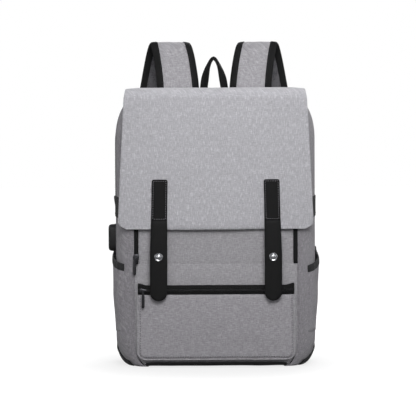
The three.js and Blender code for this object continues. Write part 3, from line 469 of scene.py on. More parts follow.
ZIP_FRONT, ZIP_REAR = extent("main_zip_tape")[0].y, extent("main_zip_tape")[1].y
ZIP_END = extent("main_zip_tape")[0].z
rear_rows = gusset(lambda z: ZIP_REAR, lambda z: BACK_Y - 1.5, 1.2, 13, 3.1)
rear = cloth("rear_gusset_cloth", rear_rows, PANEL_THICKNESS, [heather_shaded_gusset])
place(rear, "root", "grey_fabric", "rear_gusset")
main_rows = gusset(lambda z: SEAM_Y + 0.4,
                   lambda z: ZIP_REAR - 0.4 - (ZIP_REAR - ZIP_FRONT) * ease(z, ZIP_END - 6, ZIP_END + 6),
                   0.8, 7, 5.7)
main = cloth("main_gusset_cloth", main_rows, PANEL_THICKNESS, [heather_shaded_gusset])
place(main, "root", "grey_fabric", "main_gusset")
front_rows = []
ROUNDING_STEPS = 13
for x, z in OUTLINE:
    row = []
    for turn in spaced(0.0, math.pi / 2, ROUNDING_STEPS):
        y = SEAM_Y - 0.4 - (SEAM_Y - 0.4 - FACE_Y) * math.sin(turn)
        point = on_form(x, z, y)
        way = (outward(x, z) * math.cos(turn) + Vector((0, -1, 0)) * math.sin(turn)).normalized()
        along = turn / (math.pi / 2)
        swell = 1.6 * math.sin(math.pi * along) * ease(z, 4, 50) + pucker(along * 50)
        swell += 1.0 * ripple(point, 38, 9.2) * math.sin(math.pi * along) * ease(z, 4, 30)
        row.append(point + way * (swell - PANEL_THICKNESS / 2))
    front_rows.append(row)
front_side = cloth("front_gusset_cloth", front_rows, PANEL_THICKNESS, [heather_shaded_gusset])
place(front_side, "root", "grey_fabric", "front_gusset")


def filled_arch(half, bottom, top, across, up, row_count, column_count, bulge):
    """Rows of points that fill an arched outline, with y from bulge(x, z, distance to the rim)."""
    rows = []
    heights = spaced(bottom, top - up, row_count)
    heights += [top - up + up * math.sin(math.pi / 2 * i / CORNER_STEPS) for i in range(1, CORNER_STEPS + 1)]
    for z in heights:
        rise = max(0.0, (z - (top - up)) / up)
        reach = half - across * (1 - math.sqrt(max(0.0, 1 - rise * rise)))
        if z < BOTTOM_UP and bottom < BOTTOM_UP:
            low = 1 - z / BOTTOM_UP
            reach = half - BOTTOM_ACROSS * (1 - math.sqrt(max(0.0, 1 - low * low)))
        row = []
        for share in spaced(-1, 1, column_count):
            x = reach * math.sin(share * math.pi / 2) * 0.35 + reach * share * 0.65
            rim = min(reach - abs(x), top - z, z - bottom)
            row.append(Vector((x, bulge(x, z, rim), z)))
        rows.append(row)
    return rows


def back_bulge(x, z, rim):
    return BACK_Y - 1.2 + 0.8 * ease(rim, 0, 12) + 0.4 * ripple(Vector((x, 0, z)), 60, 4)


back_rows = filled_arch(BAG_HALF - 0.6, 0.8, BAG_TOP - 0.6, TOP_CORNER_ACROSS, TOP_CORNER_UP,
                        36, 31, back_bulge)
back = cloth("back_panel_cloth", back_rows, PANEL_THICKNESS, [heather_shaded_gusset], lambda p: Vector((0, 1, 0)))
place(back, "root", "grey_fabric", "back_panel")


def ring_section(radius, sides):
    return [(radius * math.cos(math.tau * i / sides), radius * math.sin(math.tau * i / sides))
            for i in range(sides)]


def loft(name, rings, looks, crisp=35, closed=False):
    """A closed body through rings of points; the ends are capped unless it closes on itself."""
    count = len(rings[0])
    points = [p for ring in rings for p in ring]
    faces = []
    for r in range(len(rings) - (0 if closed else 1)):
        below, above = r * count, (r + 1) % len(rings) * count
        faces += [(below + i, below + (i + 1) % count, above + (i + 1) % count, above + i)
                  for i in range(count)]
    if not closed:
        faces += [tuple(range(count)), tuple(len(points) - count + i for i in range(count))]
    return build(name, points, faces, looks, crisp=crisp)


def tube_rings(line, section, up):
    """Rings of a section carried along a line; up(i) is roughly the section's second axis."""
    rings = []
    for i, centre in enumerate(line):
        ahead = (line[min(i + 1, len(line) - 1)] - line[max(i - 1, 0)]).normalized()
        side = ahead.cross(up(i)).normalized()
        top = side.cross(ahead)
        rings.append([centre + side * a + top * b for a, b in section])
    return rings


# Piping cord in black cloth over the seam round the back panel and the compartment seam.
PIPING_RADIUS = 1.5
for label, seam_y, lift in (("rear_piping", BACK_Y - 1.0, 0.6), ("seam_piping", SEAM_Y, -0.4)):
    line = [Vector((x, seam_y, z)) + outward(x, z) * lift for x, z in OUTLINE]
    for point in line:
        point.z = max(point.z, PIPING_RADIUS + 0.4)
    cord_piece = loft(label, tube_rings(line, ring_section(PIPING_RADIUS, 8), lambda i: Vector((0, 1, 0))),
                      [black_cloth if label == "rear_piping" else heather_shaded_gusset], 80)
    place(cord_piece, "root", "black_fabric" if label == "rear_piping" else "grey_fabric")

# ---- Base -----------------------------------------------------------------------------
# A black oxford panel that closes the bottom and turns up a finger's width in front, where
# it is sewn over the front panel.
BASE_LIP_TOP = extent("base_panel")[1].z - 3.5
LIP_HALF = extent("pocket_panel")[1].x - 12
base_profile = [(BACK_Y - 1.5, 1.4), (30, 1.5), (0, 1.6), (-30, 1.5), (FACE_Y + 4, 1.4),
                (FACE_Y - 0.6, 1.8), (FACE_Y - 1.4, 2.8), (FACE_Y - 1.5, 4.2),
                (FACE_Y - 1.3, BASE_LIP_TOP - 0.6)]


def base_height(x, y, z, share):
    """The base's height, which dips and rises a little away from its edges."""
    if z < 3 and abs(share) < 0.95:
        return z + 0.5 * ripple(Vector((x, y, 0)), 30, 2)
    return z


base_rows = []
for y, z in base_profile:
    half = BASE_HALF - 1 if y > FACE_Y + 6 else LIP_HALF
    base_rows.append([Vector((half * share, y, base_height(half * share, y, z, share)))
                      for share in spaced(-1, 1, 33)])
base = cloth("base_cloth", base_rows, 2.0, [black_cloth], lambda p: p - Vector((0, 0, 60)))
place(base, "root", "black_fabric", "base_panel")

# ---- Front panel and its zip ----------------------------------------------------------
# The front panel is one foam-backed cloth piece in an arched zip: black tape with a nylon
# coil, sewn to the panel on one side and to the front gusset on the other.
TAPE = face_high.x - extent("pocket_zip_tape")[1].x + 0.4
FRONT_ZIP_END = extent("front_zip_tape")[0].z
POCKET_LOW, POCKET_HIGH = extent("pocket_panel")
PANEL_HALF = FACE_HALF - TAPE - 0.3


def front_bulge(x, z, rim):
    soft = 1.4 * ease(rim, 0, 55) + 0.8 * ripple(Vector((x, 0, z)), 52, 7) * ease(rim, 0, 20)
    return FACE_Y + 1.3 - soft * ease(z, 112, 135) - pucker(rim, 0.9, 3)


panel_rows = filled_arch(PANEL_HALF, FRONT_ZIP_END, FACE_TOP - TAPE, 22, 50, 26, 33, front_bulge)
lower_rows = filled_arch(FACE_HALF - 0.4, 3.6, FRONT_ZIP_END, 0.1, 0.1, 17, 33, front_bulge)[:17]
panel = cloth("front_panel_cloth", lower_rows + panel_rows, PANEL_THICKNESS, [heather_shaded_front],
              lambda p: Vector((0, -1, 0)))
place(panel, "root", "grey_fabric", "front_panel")


def woven_tape():
    """Narrow woven goods: fine ribs along the length with a herringbone turn across them."""
    tree, given, out = group_tree("woven tape", {
        "Yarn": (0.01, 0.01, 0.01, 1), "Rib": (0.03, 0.03, 0.03, 1), "Ribs per metre": 620.0,
    }, {"Colour": True, "Roughness": False, "Height": False})
    across, along = cloth_directions(tree)
    fold = node(tree, "Math", {0: reckon(tree, "MULTIPLY", across, 160.0), 1: 1.0}, operation="PINGPONG")
    slant = reckon(tree, "MULTIPLY_ADD", fold.outputs[0], 0.0035, along)
    cycles = reckon(tree, "MULTIPLY", given["Ribs per metre"], math.tau)
    rib = reckon(tree, "SINE", reckon(tree, "MULTIPLY", slant, cycles))
    rib = reckon(tree, "MULTIPLY_ADD", rib, 0.5, 0.5)
    fuzz = node(tree, "TexNoise", {"Scale": 900.0, "Detail": 2.0})
    share = reckon(tree, "MULTIPLY", rib, fuzz.outputs["Fac"])
    tree.links.new(blend_colours(tree, share, given["Yarn"], given["Rib"]), out["Colour"])
    tree.links.new(reckon(tree, "MULTIPLY_ADD", share, -0.2, 0.8), out["Roughness"])
    tree.links.new(rib, out["Height"])
    return tree


WOVEN_TAPE = woven_tape()
zip_cloth = finish_look("zip tape", WOVEN_TAPE, {
    "Yarn": linear(0x060607), "Rib": linear(0x0E0E0F), "Ribs per metre": 900.0},
    0.15, Specular_IOR_Level=0.25)


def wear_and_grain():
    """Moulded or plated surface: fine grain, faint cloudiness and a few rubbed places."""
    tree, given, out = group_tree("wear and grain", {
        "Base": (0.1, 0.1, 0.1, 1), "Rubbed": (0.2, 0.2, 0.2, 1), "Grain per metre": 1500.0,
        "Roughness": 0.4, "Rubbed amount": 0.3,
    }, {"Colour": True, "Roughness": False, "Height": False})
    grain = node(tree, "TexNoise", {"Scale": given["Grain per metre"], "Detail": 3.0})
    cloud = node(tree, "TexNoise", {"Scale": 120.0, "Detail": 4.0, "Roughness": 0.65})
    rubbed = node(tree, "MapRange", {"Value": cloud.outputs["Fac"], "From Min": 0.5, "From Max": 0.72})
    rubbed = reckon(tree, "MULTIPLY", rubbed.outputs[0], given["Rubbed amount"])
    tree.links.new(blend_colours(tree, rubbed, given["Base"], given["Rubbed"]), out["Colour"])
    uneven = reckon(tree, "MULTIPLY_ADD", cloud.outputs["Fac"], 0.16, -0.08)
    tree.links.new(reckon(tree, "ADD", given["Roughness"], uneven), out["Roughness"])
    tree.links.new(grain.outputs["Fac"], out["Height"])
    return tree


WEAR = wear_and_grain()
coil_nylon = finish_look("coil nylon", WEAR, {
    "Base": linear(0x1C1C1E), "Rubbed": linear(0x3A3A3C), "Roughness": 0.38}, 0.03)
gunmetal = finish_look("black plated zinc", WEAR, {
    "Base": linear(0x3A3A3D), "Rubbed": linear(0x77777B), "Roughness": 0.3, "Grain per metre": 2500.0},
    0.02, Metallic=0.9)


def walk(line, outs, step):
    """Evenly spaced places along a line: each is the point, the way on, and the way out."""
    places, left = [], step / 2
    for i in range(len(line) - 1):
        span = line[i + 1] - line[i]
        length, at = span.length, left
        while at < length:
            share = at / length
            out = outs[i].lerp(outs[i + 1], share).normalized()
            places.append((line[i] + span * share, span / length, out))
            at += step
        left = at - length
    return places


def bars(name, places, length, width, height, look):
    """Many small rounded bars as one mesh: stitches, or the turns of a zip coil."""
    points, faces = [], []
    for centre, ahead, out in places:
        side = ahead.cross(out).normalized()
        first = len(points)
        points.append(centre - ahead * length / 2)
        for end in (-0.34, 0.34):
            for a, b in ((1, 0), (0, 1), (-1, 0), (0, -1)):
                points.append(centre + ahead * length * end + side * a * width / 2 + out * b * height / 2)
        points.append(centre + ahead * length / 2)
        for i in range(4):
            j = (i + 1) % 4
            faces += [(first, first + 1 + j, first + 1 + i),
                      (first + 1 + i, first + 1 + j, first + 5 + j, first + 5 + i),
                      (first + 5 + i, first + 5 + j, first + 9)]
    return build(name, points, faces, [look], crisp=80)


COIL_PITCH = 1.7


def zip_coil(name, line, outs):
    """The two interlocked halves of a nylon coil down the middle of a tape."""
    turns = []
    for i, (centre, ahead, out) in enumerate(walk(line, outs, COIL_PITCH / 2)):
        side = ahead.cross(out).normalized() * (1 if i % 2 else -1)
        turns.append((centre + side * 0.8 + out * 0.25, side, out))
    piece = bars(name, turns, 3.0, COIL_PITCH * 0.62, 1.5, coil_nylon)
    return place(piece, "root", "zip_tape")


def strip(name, line, sides, outs, half, thickness, look):
    """A flat tape along a line."""
    rows = []
    for centre, side, out in zip(line, sides, outs):
        rows.append([centre + side * half * share + out * 0.35 * (1 - share * share)
                     for share in (-1, -0.5, 0, 0.5, 1)])
    return cloth(name, rows, thickness, [look])


def zip_arch(half, top, across, up, start):
    """The upright-straight, elliptical-cornered line of a zip, from one end over to the other."""
    line = [(half, z) for z in spaced(start, top - up, 26)]
    line += [(half - across + across * math.cos(t), top - up + up * math.sin(t))
             for t in spaced(0, math.pi / 2, 11)[1:]]
    over = [(x, top) for x in spaced(half - across, across - half, 18)[1:-1]]
    return line + over + [(-x, z) for x, z in reversed(line)]


FRONT = Vector((0, -1, 0))
tape_middle = TAPE / 2
front_line = [Vector((x, FACE_Y + 0.9, z)) for x, z in
              zip_arch(FACE_HALF - tape_middle, FACE_TOP - tape_middle, 25, 56, FRONT_ZIP_END + 0.5)]
front_sides = []
for i, point in enumerate(front_line):
    on = (front_line[min(i + 1, len(front_line) - 1)] - front_line[max(i - 1, 0)]).normalized()
    front_sides.append(on.cross(FRONT))
front_outs = [FRONT] * len(front_line)
front_tape = strip("front_zip_cloth", front_line, front_sides, front_outs, tape_middle - 0.2, 1.2, zip_cloth)
place(front_tape, "root", "zip_tape", "front_zip_tape")
zip_coil("front_zip_coil", front_line, front_outs)
# A bar tack closes each end of the coil.
tacks = [(Vector((side * (FACE_HALF - tape_middle), FACE_Y + 0.1, FRONT_ZIP_END + 2 + 0.9 * i)),
          Vector((1, 0, 0)), FRONT) for side in (-1, 1) for i in range(3)]
place(bars("front_zip_tacks", tacks, TAPE - 1, 0.9, 0.8, zip_cloth), "root", "zip_tape")

# Main zip: the same tape and coil in the gusset, standing up as a ridge down both sides.
RIDGE = {-1: 2.6, 1: 1.4}
main_line, main_outs, main_sides = [], [], []
for x, z in OUTLINE:
    if z > ZIP_END - 4:
        out = outward(x, z)
        ridge = RIDGE[-1 if x < 0 else 1] * (1 - ease(z, BAG_TOP - 70, BAG_TOP - 22))
        main_line.append(Vector((x, (ZIP_FRONT + ZIP_REAR) / 2, z)) + out * (ridge - 0.8))
        main_outs.append(out)
        main_sides.append(Vector((0, 1, 0)))
main_tape_rows = []
for x, z in OUTLINE:
    if z > ZIP_END - 4:
        out = outward(x, z)
        ridge = RIDGE[-1 if x < 0 else 1] * (1 - ease(z, BAG_TOP - 70, BAG_TOP - 22))
        middle, half = (ZIP_FRONT + ZIP_REAR) / 2, (ZIP_REAR - ZIP_FRONT) / 2 - 0.3
        main_tape_rows.append([
            Vector((x, middle + half * share, z)) + out * (-1.3 + ridge * (1 - abs(share)) ** 0.8 + 0.2)
            for share in spaced(-1, 1, 9)])
main_tape = cloth("main_zip_cloth", main_tape_rows, 1.2, [zip_cloth])
place(main_tape, "root", "zip_tape", "main_zip_tape")
zip_coil("main_zip_coil", main_line, main_outs)

# ---- Front pocket ---------------------------------------------------------------------
# A patch pocket with round lower corners, its rim edged with cloth piping and turned back
# to the panel. A black zip in a slanted tape closes the top. The front bellies slightly.
pocket_half, pocket_bottom, pocket_top = POCKET_HIGH.x, POCKET_LOW.z, POCKET_HIGH.z
pocket_front = POCKET_LOW.y
POCKET_CORNER = 11
RIM_STEPS = (0.0, 0.5, 1.4, 2.8, 5.0, 8.0, 12.0)
# The pocket's heather copy is painted a little darker again, for the weaker light low on the bag.
heather_shaded_pocket = heather("heather cloth pocket, shaded copy", 0xA19EA3, 0xCBC9CD, 0x706E73, 0.12, 0.62)


def pocket_y(x, z):
    """Depth of the pocket's front: curved in from the rim, full in the middle, with soft dents."""
    corner = max(0.0, pocket_bottom + POCKET_CORNER - z)
    reach = pocket_half - POCKET_CORNER + math.sqrt(max(0.0, POCKET_CORNER ** 2 - corner ** 2))
    rim = max(0.0, min(reach - abs(x), z - pocket_bottom))
    curve = math.sqrt(max(0.0, 1 - (1 - min(1.0, rim / 4.5)) ** 2))
    deep = (FACE_Y - 1.0) + (pocket_front + 1.1 - FACE_Y + 1.0) * curve
    belly = 1.3 * ease(rim, 3, 45) * (1 - ease(z, pocket_top - 22, pocket_top) * 0.6)
    return deep - belly - 0.9 * ripple(Vector((x, 0, z * 1.4)), 36, 5) * ease(rim, 4, 22)


heights = [pocket_bottom + s for s in RIM_STEPS[:-1]] + spaced(pocket_bottom + 12, pocket_top - 0.2, 18)
pocket_rows = []
for z in heights:
    corner = max(0.0, pocket_bottom + POCKET_CORNER - z)
    reach = pocket_half - POCKET_CORNER + math.sqrt(max(0.0, POCKET_CORNER ** 2 - corner ** 2))
    shares = [-(reach - s) for s in RIM_STEPS[:-1]] + spaced(-(reach - 12), reach - 12, 37)
    shares += [reach - s for s in reversed(RIM_STEPS[:-1])]
    pocket_rows.append([Vector((x, pocket_y(x, z), z)) for x in shares])
pocket = cloth("front_pocket_cloth", pocket_rows, PANEL_THICKNESS, [heather_shaded_pocket, lining_cloth],
               lambda p: FRONT)
place(pocket, "root", "grey_fabric", "pocket_panel")


def pocket_rim(offset, y):
    """The pocket's outline at an offset outside it, from its top left corner round to the right."""
    r = POCKET_CORNER + offset
    half, low = pocket_half + offset, pocket_bottom - offset
    line = [Vector((-half, y, z)) for z in spaced(pocket_top, low + r, 14)]
    line += [Vector((-half + r - r * math.cos(t), y, low + r - r * math.sin(t)))
             for t in spaced(0, math.pi / 2, 9)[1:]]
    line += [Vector((x, y, low)) for x in spaced(-half + r, half - r, 26)[1:-1]]
    return line + [Vector((-p.x, p.y, p.z)) for p in reversed(line[:22])]


rim_line = pocket_rim(0.6, FACE_Y - 4.6)
piping = loft("front_pocket_piping", tube_rings(rim_line, ring_section(1.5, 8), lambda i: FRONT),
              [heather_shaded_front], 80)
place(piping, "root", "grey_fabric", "pocket_piping")
seam_line = pocket_rim(-3.2, 0)
seam_line = [Vector((p.x, pocket_y(p.x, p.z) - PANEL_THICKNESS / 2 - 0.1, p.z)) for p in seam_line]
dark_thread = finish_look("dark thread", WEAR, {
    "Base": linear(0x4A484C), "Rubbed": linear(0x6E6C70), "Roughness": 0.7}, 0.02)
black_thread = finish_look("black thread", WEAR, {
    "Base": linear(0x17171A), "Rubbed": linear(0x2C2C2E), "Roughness": 0.6}, 0.02)
grey_thread = finish_look("grey thread", WEAR, {
    "Base": linear(0xA8A6AA), "Rubbed": linear(0xC4C2C6), "Roughness": 0.7}, 0.02)
STITCH, STITCH_PITCH = 2.6, 3.6
pocket_stitches = walk(seam_line, [FRONT] * len(seam_line), STITCH_PITCH)
place(bars("front_pocket_stitches", pocket_stitches, STITCH, 0.6, 0.5, dark_thread), "root", "grey_fabric")

zip_low, zip_high = extent("pocket_zip_tape")
ZIP_CURL, ZIP_CURL_REACH = 3.0, 13.0


def zip_lift(x):
    """The pocket zip's ends turn up a little where they run into the side seams."""
    return ZIP_CURL * ease(abs(x), pocket_half - ZIP_CURL_REACH, pocket_half)


pocket_tape_rows = []
tape_profile = [(pocket_front + 1.4, 0.2), (pocket_front + 0.9, 3.0), (pocket_front + 0.9, 10.5),
                (pocket_front + 1.5, 12.4), (pocket_front + 3.6, 13.3), (FACE_Y - 1.2, 13.5)]
for y, up in tape_profile:
    share = up / (zip_high.z - zip_low.z)
    pocket_tape_rows.append([Vector((x, y, zip_low.z + up + zip_lift(x) * (0.3 + 0.7 * share)))
                             for x in spaced(-pocket_half + 0.4, pocket_half - 0.4, 49)])
pocket_tape = cloth("pocket_zip_cloth", pocket_tape_rows, 1.4, [zip_cloth], lambda p: FRONT)
place(pocket_tape, "root", "zip_tape", "pocket_zip_tape")
zip_middle = (zip_low.z + zip_high.z) / 2
pocket_zip_line = [Vector((x, pocket_front + 0.5, zip_middle + zip_lift(x) * 0.6))
                   for x in spaced(-pocket_half + 2, pocket_half - 2, 60)]
zip_coil("pocket_zip_coil", pocket_zip_line, [FRONT] * len(pocket_zip_line))
edge_rows = [[Vector((x, pocket_front + 1.0, z + zip_lift(x) * 0.3))
              for x in spaced(-pocket_half + 1, pocket_half - 1, 60)]
             for z in (zip_low.z + 1.6, zip_high.z - 2.6)]
for label, row in zip(("low", "high"), edge_rows):
    line = [p + FRONT * 0.9 for p in row]
    stitches = walk(line, [FRONT] * len(line), 3.4)
    place(bars(f"pocket_zip_stitches_{label}", stitches, 2.4, 0.5, 0.5, black_thread), "root", "zip_tape")

# ---- Side pockets ---------------------------------------------------------------------
# Cloth pockets sewn on three sides to the gusset. A black elastic band is stretched into
# the slanted mouth, so the cloth below it is drawn up in small gathers.
SIDE_FRONT, SIDE_REAR = extent("side_pocket_left")[0].y, extent("side_pocket_left")[1].y
SIDE_BOTTOM = extent("side_pocket_left")[0].z
MOUTH_SLOPE = 0.155
STEEPER = {-1: 0.0, 1: 0.06}
MOUTH_GAPE = 0.6
ELASTIC_HEIGHT = 10
MOUTH_MIDDLE = extent("pocket_elastic_left")[1].z - MOUTH_SLOPE * SIDE_REAR - ELASTIC_HEIGHT
SIDE_ROOM = BAG_HALF * -1 - extent("side_pocket_left")[0].x - 0.7
elastic_band = finish_look("black elastic", WOVEN_TAPE, {
    "Yarn": linear(0x121213), "Rib": linear(0x2B2B2E), "Ribs per metre": 480.0}, 0.35, Sheen_Weight=0.1)


def side_surface(side, y, z, lift):
    """A point on the bag's side at depth y and height z, lifted off the cloth."""
    low = max(0.0, 1 - z / BOTTOM_UP)
    half = BAG_HALF - BOTTOM_ACROSS * (1 - math.sqrt(max(0.0, 1 - low * low)))
    point = on_form(half, z, y)
    turn = math.asin(min(1.0, max(0.0, (SEAM_Y - y) / (SEAM_Y - FACE_Y))))
    way = Vector((math.cos(turn), -math.sin(turn), 0))
    point += way * lift
    return Vector((point.x * side, point.y, point.z))


def pocket_lift(y, up, side):
    """Height of the side pocket over the gusset: nothing at its seams and full between them."""
    edge = min(y - SIDE_FRONT, SIDE_REAR - y)
    fullness = math.sqrt(max(0.0, 1 - (1 - min(1.0, edge / 12)) ** 2))
    fullness *= ease(up, -0.12, 0.62)
    gape = MOUTH_GAPE * ease(up, 0.6, 1.0)
    wander = 2.2 * ripple(Vector((y, 0, 0)), 20, side)
    gather = 0.75 * math.sin(y * math.tau / 8.5 + wander) * ease(up, 0.45, 0.98)
    slack = 1.1 * ripple(Vector((y, up * 90, side * 40)), 34, 8)
    return 0.9 + (SIDE_ROOM - 1.6 + gape + gather + slack) * fullness


for side, label in ((-1, "left"), (1, "right")):
    rows = []
    ys = spaced(SIDE_FRONT, SIDE_REAR, 49)
    for up in spaced(0, 1, 21):
        row = []
        for y in ys:
            mouth = MOUTH_MIDDLE + (MOUTH_SLOPE + STEEPER[side]) * y
            z = SIDE_BOTTOM + (mouth - SIDE_BOTTOM) * up
            row.append(side_surface(side, y, z, pocket_lift(y, up, side)))
        rows.append(row)
    side_pocket = cloth(f"side_pocket_cloth_{label}", rows, 1.3, [heather_shaded_gusset, lining_cloth])
    place(side_pocket, "root", "grey_fabric", f"side_pocket_{label}")
    band_rows = []
    for up in (0.0, 0.12, 0.35, 0.65, 0.88, 1.0):
        row = []
        for y in ys:
            z = MOUTH_MIDDLE - 0.8 + (MOUTH_SLOPE + STEEPER[side]) * y + ELASTIC_HEIGHT * up
            bead = 0.5 * math.sin(math.pi * up)
            crimp = 0.28 * math.sin(y * math.tau / 4.2)
            row.append(side_surface(side, y, z, pocket_lift(y, 1.0, side) + 0.4 + bead + crimp))
        band_rows.append(row)
    band = cloth(f"pocket_elastic_band_{label}", band_rows, 1.5, [elastic_band])
    place(band, "root", "elastic", f"pocket_elastic_{label}")

# ---- Patches on the sides -------------------------------------------------------------
# Black oxford patches: one covers each end of the main zip, and one wraps the lower rear
# corner, where the webbing of the shoulder strap is sewn in. All have a row of stitches.


def patch_grid(corners, side, count, lift):
    """Rows between the lower and upper edge of a patch; corners are (front y, low z, high z) on."""
    rows = []
    for share in spaced(0, 1, 9):
        row = []
        for i in range(count):
            at = i / (count - 1) * (len(corners) - 1)
            a, b = corners[int(at)], corners[min(int(at) + 1, len(corners) - 1)]
            t = at - int(at)
            y, low, high = (p + (q - p) * t for p, q in zip(a, b))
            row.append(side_surface(side, y, low + (high - low) * share, lift))
        rows.append(row)
    return rows


zip_patch_corners = [(-52, 218, 249), (22, 223, 249)]
ZIP_MIDDLE_Y = (ZIP_FRONT + ZIP_REAR) / 2
for side, label in ((-1, "left"), (1, "right")):
    rows = patch_grid(zip_patch_corners, side, 21, 1.3)
    for row in rows:
        for i, point in enumerate(row):
            over_zip = math.exp(-((point.y - ZIP_MIDDLE_Y) / 6) ** 2)
            point.x += side * RIDGE[side] * over_zip * ease(point.z, 226, 250)
    patch = cloth(f"zip_end_cloth_{label}", rows, 1.6, [black_cloth])
    place(patch, "root", "black_fabric", f"zip_end_patch_{label}")
    inset = [rows[1][i] for i in range(1, 20)] + [rows[k][19] for k in range(1, 8)]
    inset += [rows[7][i] for i in range(19, 0, -1)] + [rows[k][1] for k in range(7, 0, -1)]
    out = Vector((side, 0, 0))
    line = [p + out * 1.0 for p in inset]
    place(bars(f"zip_end_stitches_{label}", walk(line, [out] * len(line), 3.6), 2.5, 0.5, 0.5, black_thread),
          "root", "black_fabric")
    CORNER_ROUND = 6.0
    rows = []
    for share in spaced(0, 1, 13):
        row = []
        for y in spaced(-54, BACK_Y - CORNER_ROUND, 23):
            high = 8 + 14 * ease(y, -54, -24) + 5 * ease(y, -24, -12) + 18 * ease(y, -14, 56)
            z = 1.0 + (high - 1.0) * share
            point = side_surface(side, y, z, 1.2)
            row.append(point)
        last = row[-1]
        for turn in spaced(0, math.pi / 2, 6)[1:]:
            row.append(Vector((last.x - side * CORNER_ROUND * (1 - math.cos(turn)),
                               last.y + CORNER_ROUND * math.sin(turn) + 1.4 * math.sin(turn), last.z)))
        for reach in (6, 13, 20):
            row.append(Vector((last.x - side * (CORNER_ROUND + reach), BACK_Y + 1.4, last.z)))
        rows.append(row)
    patch = cloth(f"anchor_patch_cloth_{label}", rows, 1.8, [black_cloth])
    place(patch, "root", "black_fabric")
    line = [p + (p - BAG_CENTRE).normalized() * 0.6 for p in rows[11][1:-1]]
    line = [Vector((p.x + side * 0.8, p.y, p.z)) for p in line[:-4]]
    place(bars(f"anchor_stitches_{label}", walk(line, [Vector((side, 0, 0))] * len(line), 3.6), 2.5, 0.5, 0.5,
               black_thread), "root", "black_fabric")

# ---- Charging port --------------------------------------------------------------------
# A soft black rubber housing moulded on the left side, with a pressed-steel socket in it
# and the plastic tongue that carries the contacts.
rubber = finish_look("black rubber", WEAR, {
    "Base": linear(0x19191B), "Rubbed": linear(0x2A2A2C), "Roughness": 0.55, "Grain per metre": 3000.0}, 0.08)
chrome = finish_look("polished chrome", WEAR, {
    "Base": linear(0xC9CACE), "Rubbed": linear(0xA9AAAE), "Roughness": 0.16, "Grain per metre": 1200.0},
    0.01, Metallic=1.0)
white_plastic = finish_look("tongue plastic", WEAR, {
    "Base": linear(0xD8D8D6), "Rubbed": linear(0xBEBEBC), "Roughness": 0.45}, 0.02)
port_low, port_high = extent("usb_housing")
socket_low, socket_high = extent("usb_socket")
port_middle = (port_low + port_high) / 2
port_half_y, port_half_z = (port_high.y - port_low.y) / 2, (port_high.z - port_low.z) / 2


def rounded_ring(half_a, half_b, corner, steps=5):
    """A rounded rectangle's points, as (a, b) pairs."""
    corner = min(corner, half_a, half_b)
    ring = []
    for quarter in range(4):
        ca = (half_a - corner) * (1 if quarter in (0, 3) else -1)
        cb = (half_b - corner) * (1 if quarter in (0, 1) else -1)
        for t in spaced(0, math.pi / 2, steps):
            angle = quarter * math.pi / 2 + t
            ring.append((ca + corner * math.cos(angle), cb + corner * math.sin(angle)))
    return ring


housing_rings = []
PORT_DEPTH = 12.5
port_steps = [(0.0, 2.2), (0.6, 2.4), (1.3, 1.6), (1.6, -0.4), (8.0, -1.0), (10.8, -1.8),
              (PORT_DEPTH - 0.5, -3.2), (PORT_DEPTH, -5.0)]
for out, grow in port_steps:
    ring = rounded_ring(port_half_y + grow, port_half_z + grow, 10 + grow)
    housing_rings.append([Vector((port_high.x - out, port_middle.y + a, port_middle.z + b)) for a, b in ring])
slot_half_y, slot_half_z = (socket_high.y - socket_low.y) / 2 + 0.2, (socket_high.z - socket_low.z) / 2 + 0.2
for out, grow in ((PORT_DEPTH, 1.6), (PORT_DEPTH - 0.3, 0.4), (1.2, 0.0)):
    ring = rounded_ring(slot_half_y + grow, slot_half_z + grow, 1.2 + grow)
    housing_rings.append([Vector((port_high.x - out, port_middle.y + a, port_middle.z + b)) for a, b in ring])
housing = loft("usb_housing_rubber", housing_rings, [rubber], 50)
place(housing, "root", "black_plastic", "usb_housing")
shell_rings = []
for out, half_y, half_z in ((1.2, 0, 0), (PORT_DEPTH - 0.1, 0, 0),
                            (PORT_DEPTH - 0.1, -0.6, -0.6), (1.8, -0.6, -0.6)):
    ring = rounded_ring(slot_half_y - 0.25 + half_y, slot_half_z - 0.25 + half_z, 0.9)
    shell_rings.append([Vector((port_high.x - out, port_middle.y + a, port_middle.z + b)) for a, b in ring])
place(loft("usb_socket_shell", shell_rings, [chrome], 50), "root", "chrome", "usb_socket")
tongue_rings = []
for out, shrink in ((1.9, 0.0), (10.6, 0.0), (11.0, 0.35)):
    ring = rounded_ring(0.9 - shrink / 2, slot_half_z - 1.9 - shrink, 0.35)
    tongue_rings.append([Vector((port_high.x - out, port_middle.y - 1.0 + a, port_middle.z + b))
                         for a, b in ring])
place(loft("usb_tongue", tongue_rings, [white_plastic], 50), "root", "black_plastic")

# ---- Flap -----------------------------------------------------------------------------
# The flap is sewn in at the top rear seam, runs forward over the top, and hangs down the
# front. It is heather cloth over a thin stiffener, with a turned hem and a lining inside.
# The flap's heather copy is painted lighter than the other copies, for the stronger light high on the bag.
heather_lit_flap = heather("heather cloth flap, lit copy", 0xB6B5BA, 0xE2E1E5, 0x8F8E93, 0.85, 0.62)
flap_low, flap_high = extent("flap_front")
flap_top_low, flap_top_high = extent("flap_top")
FLAP_HALF_TOP, FLAP_HALF_LOW = flap_top_high.x, flap_high.x
FLAP_TOP, FLAP_LOW, FLAP_FRONT = flap_high.z, flap_low.z, flap_low.y
FLAP_THICKNESS = flap_top_high.z - flap_top_low.z
BEND = 18
STIFF_HALF = 114
LAP_Y = 30.0
cloth_mid = FLAP_THICKNESS / 2


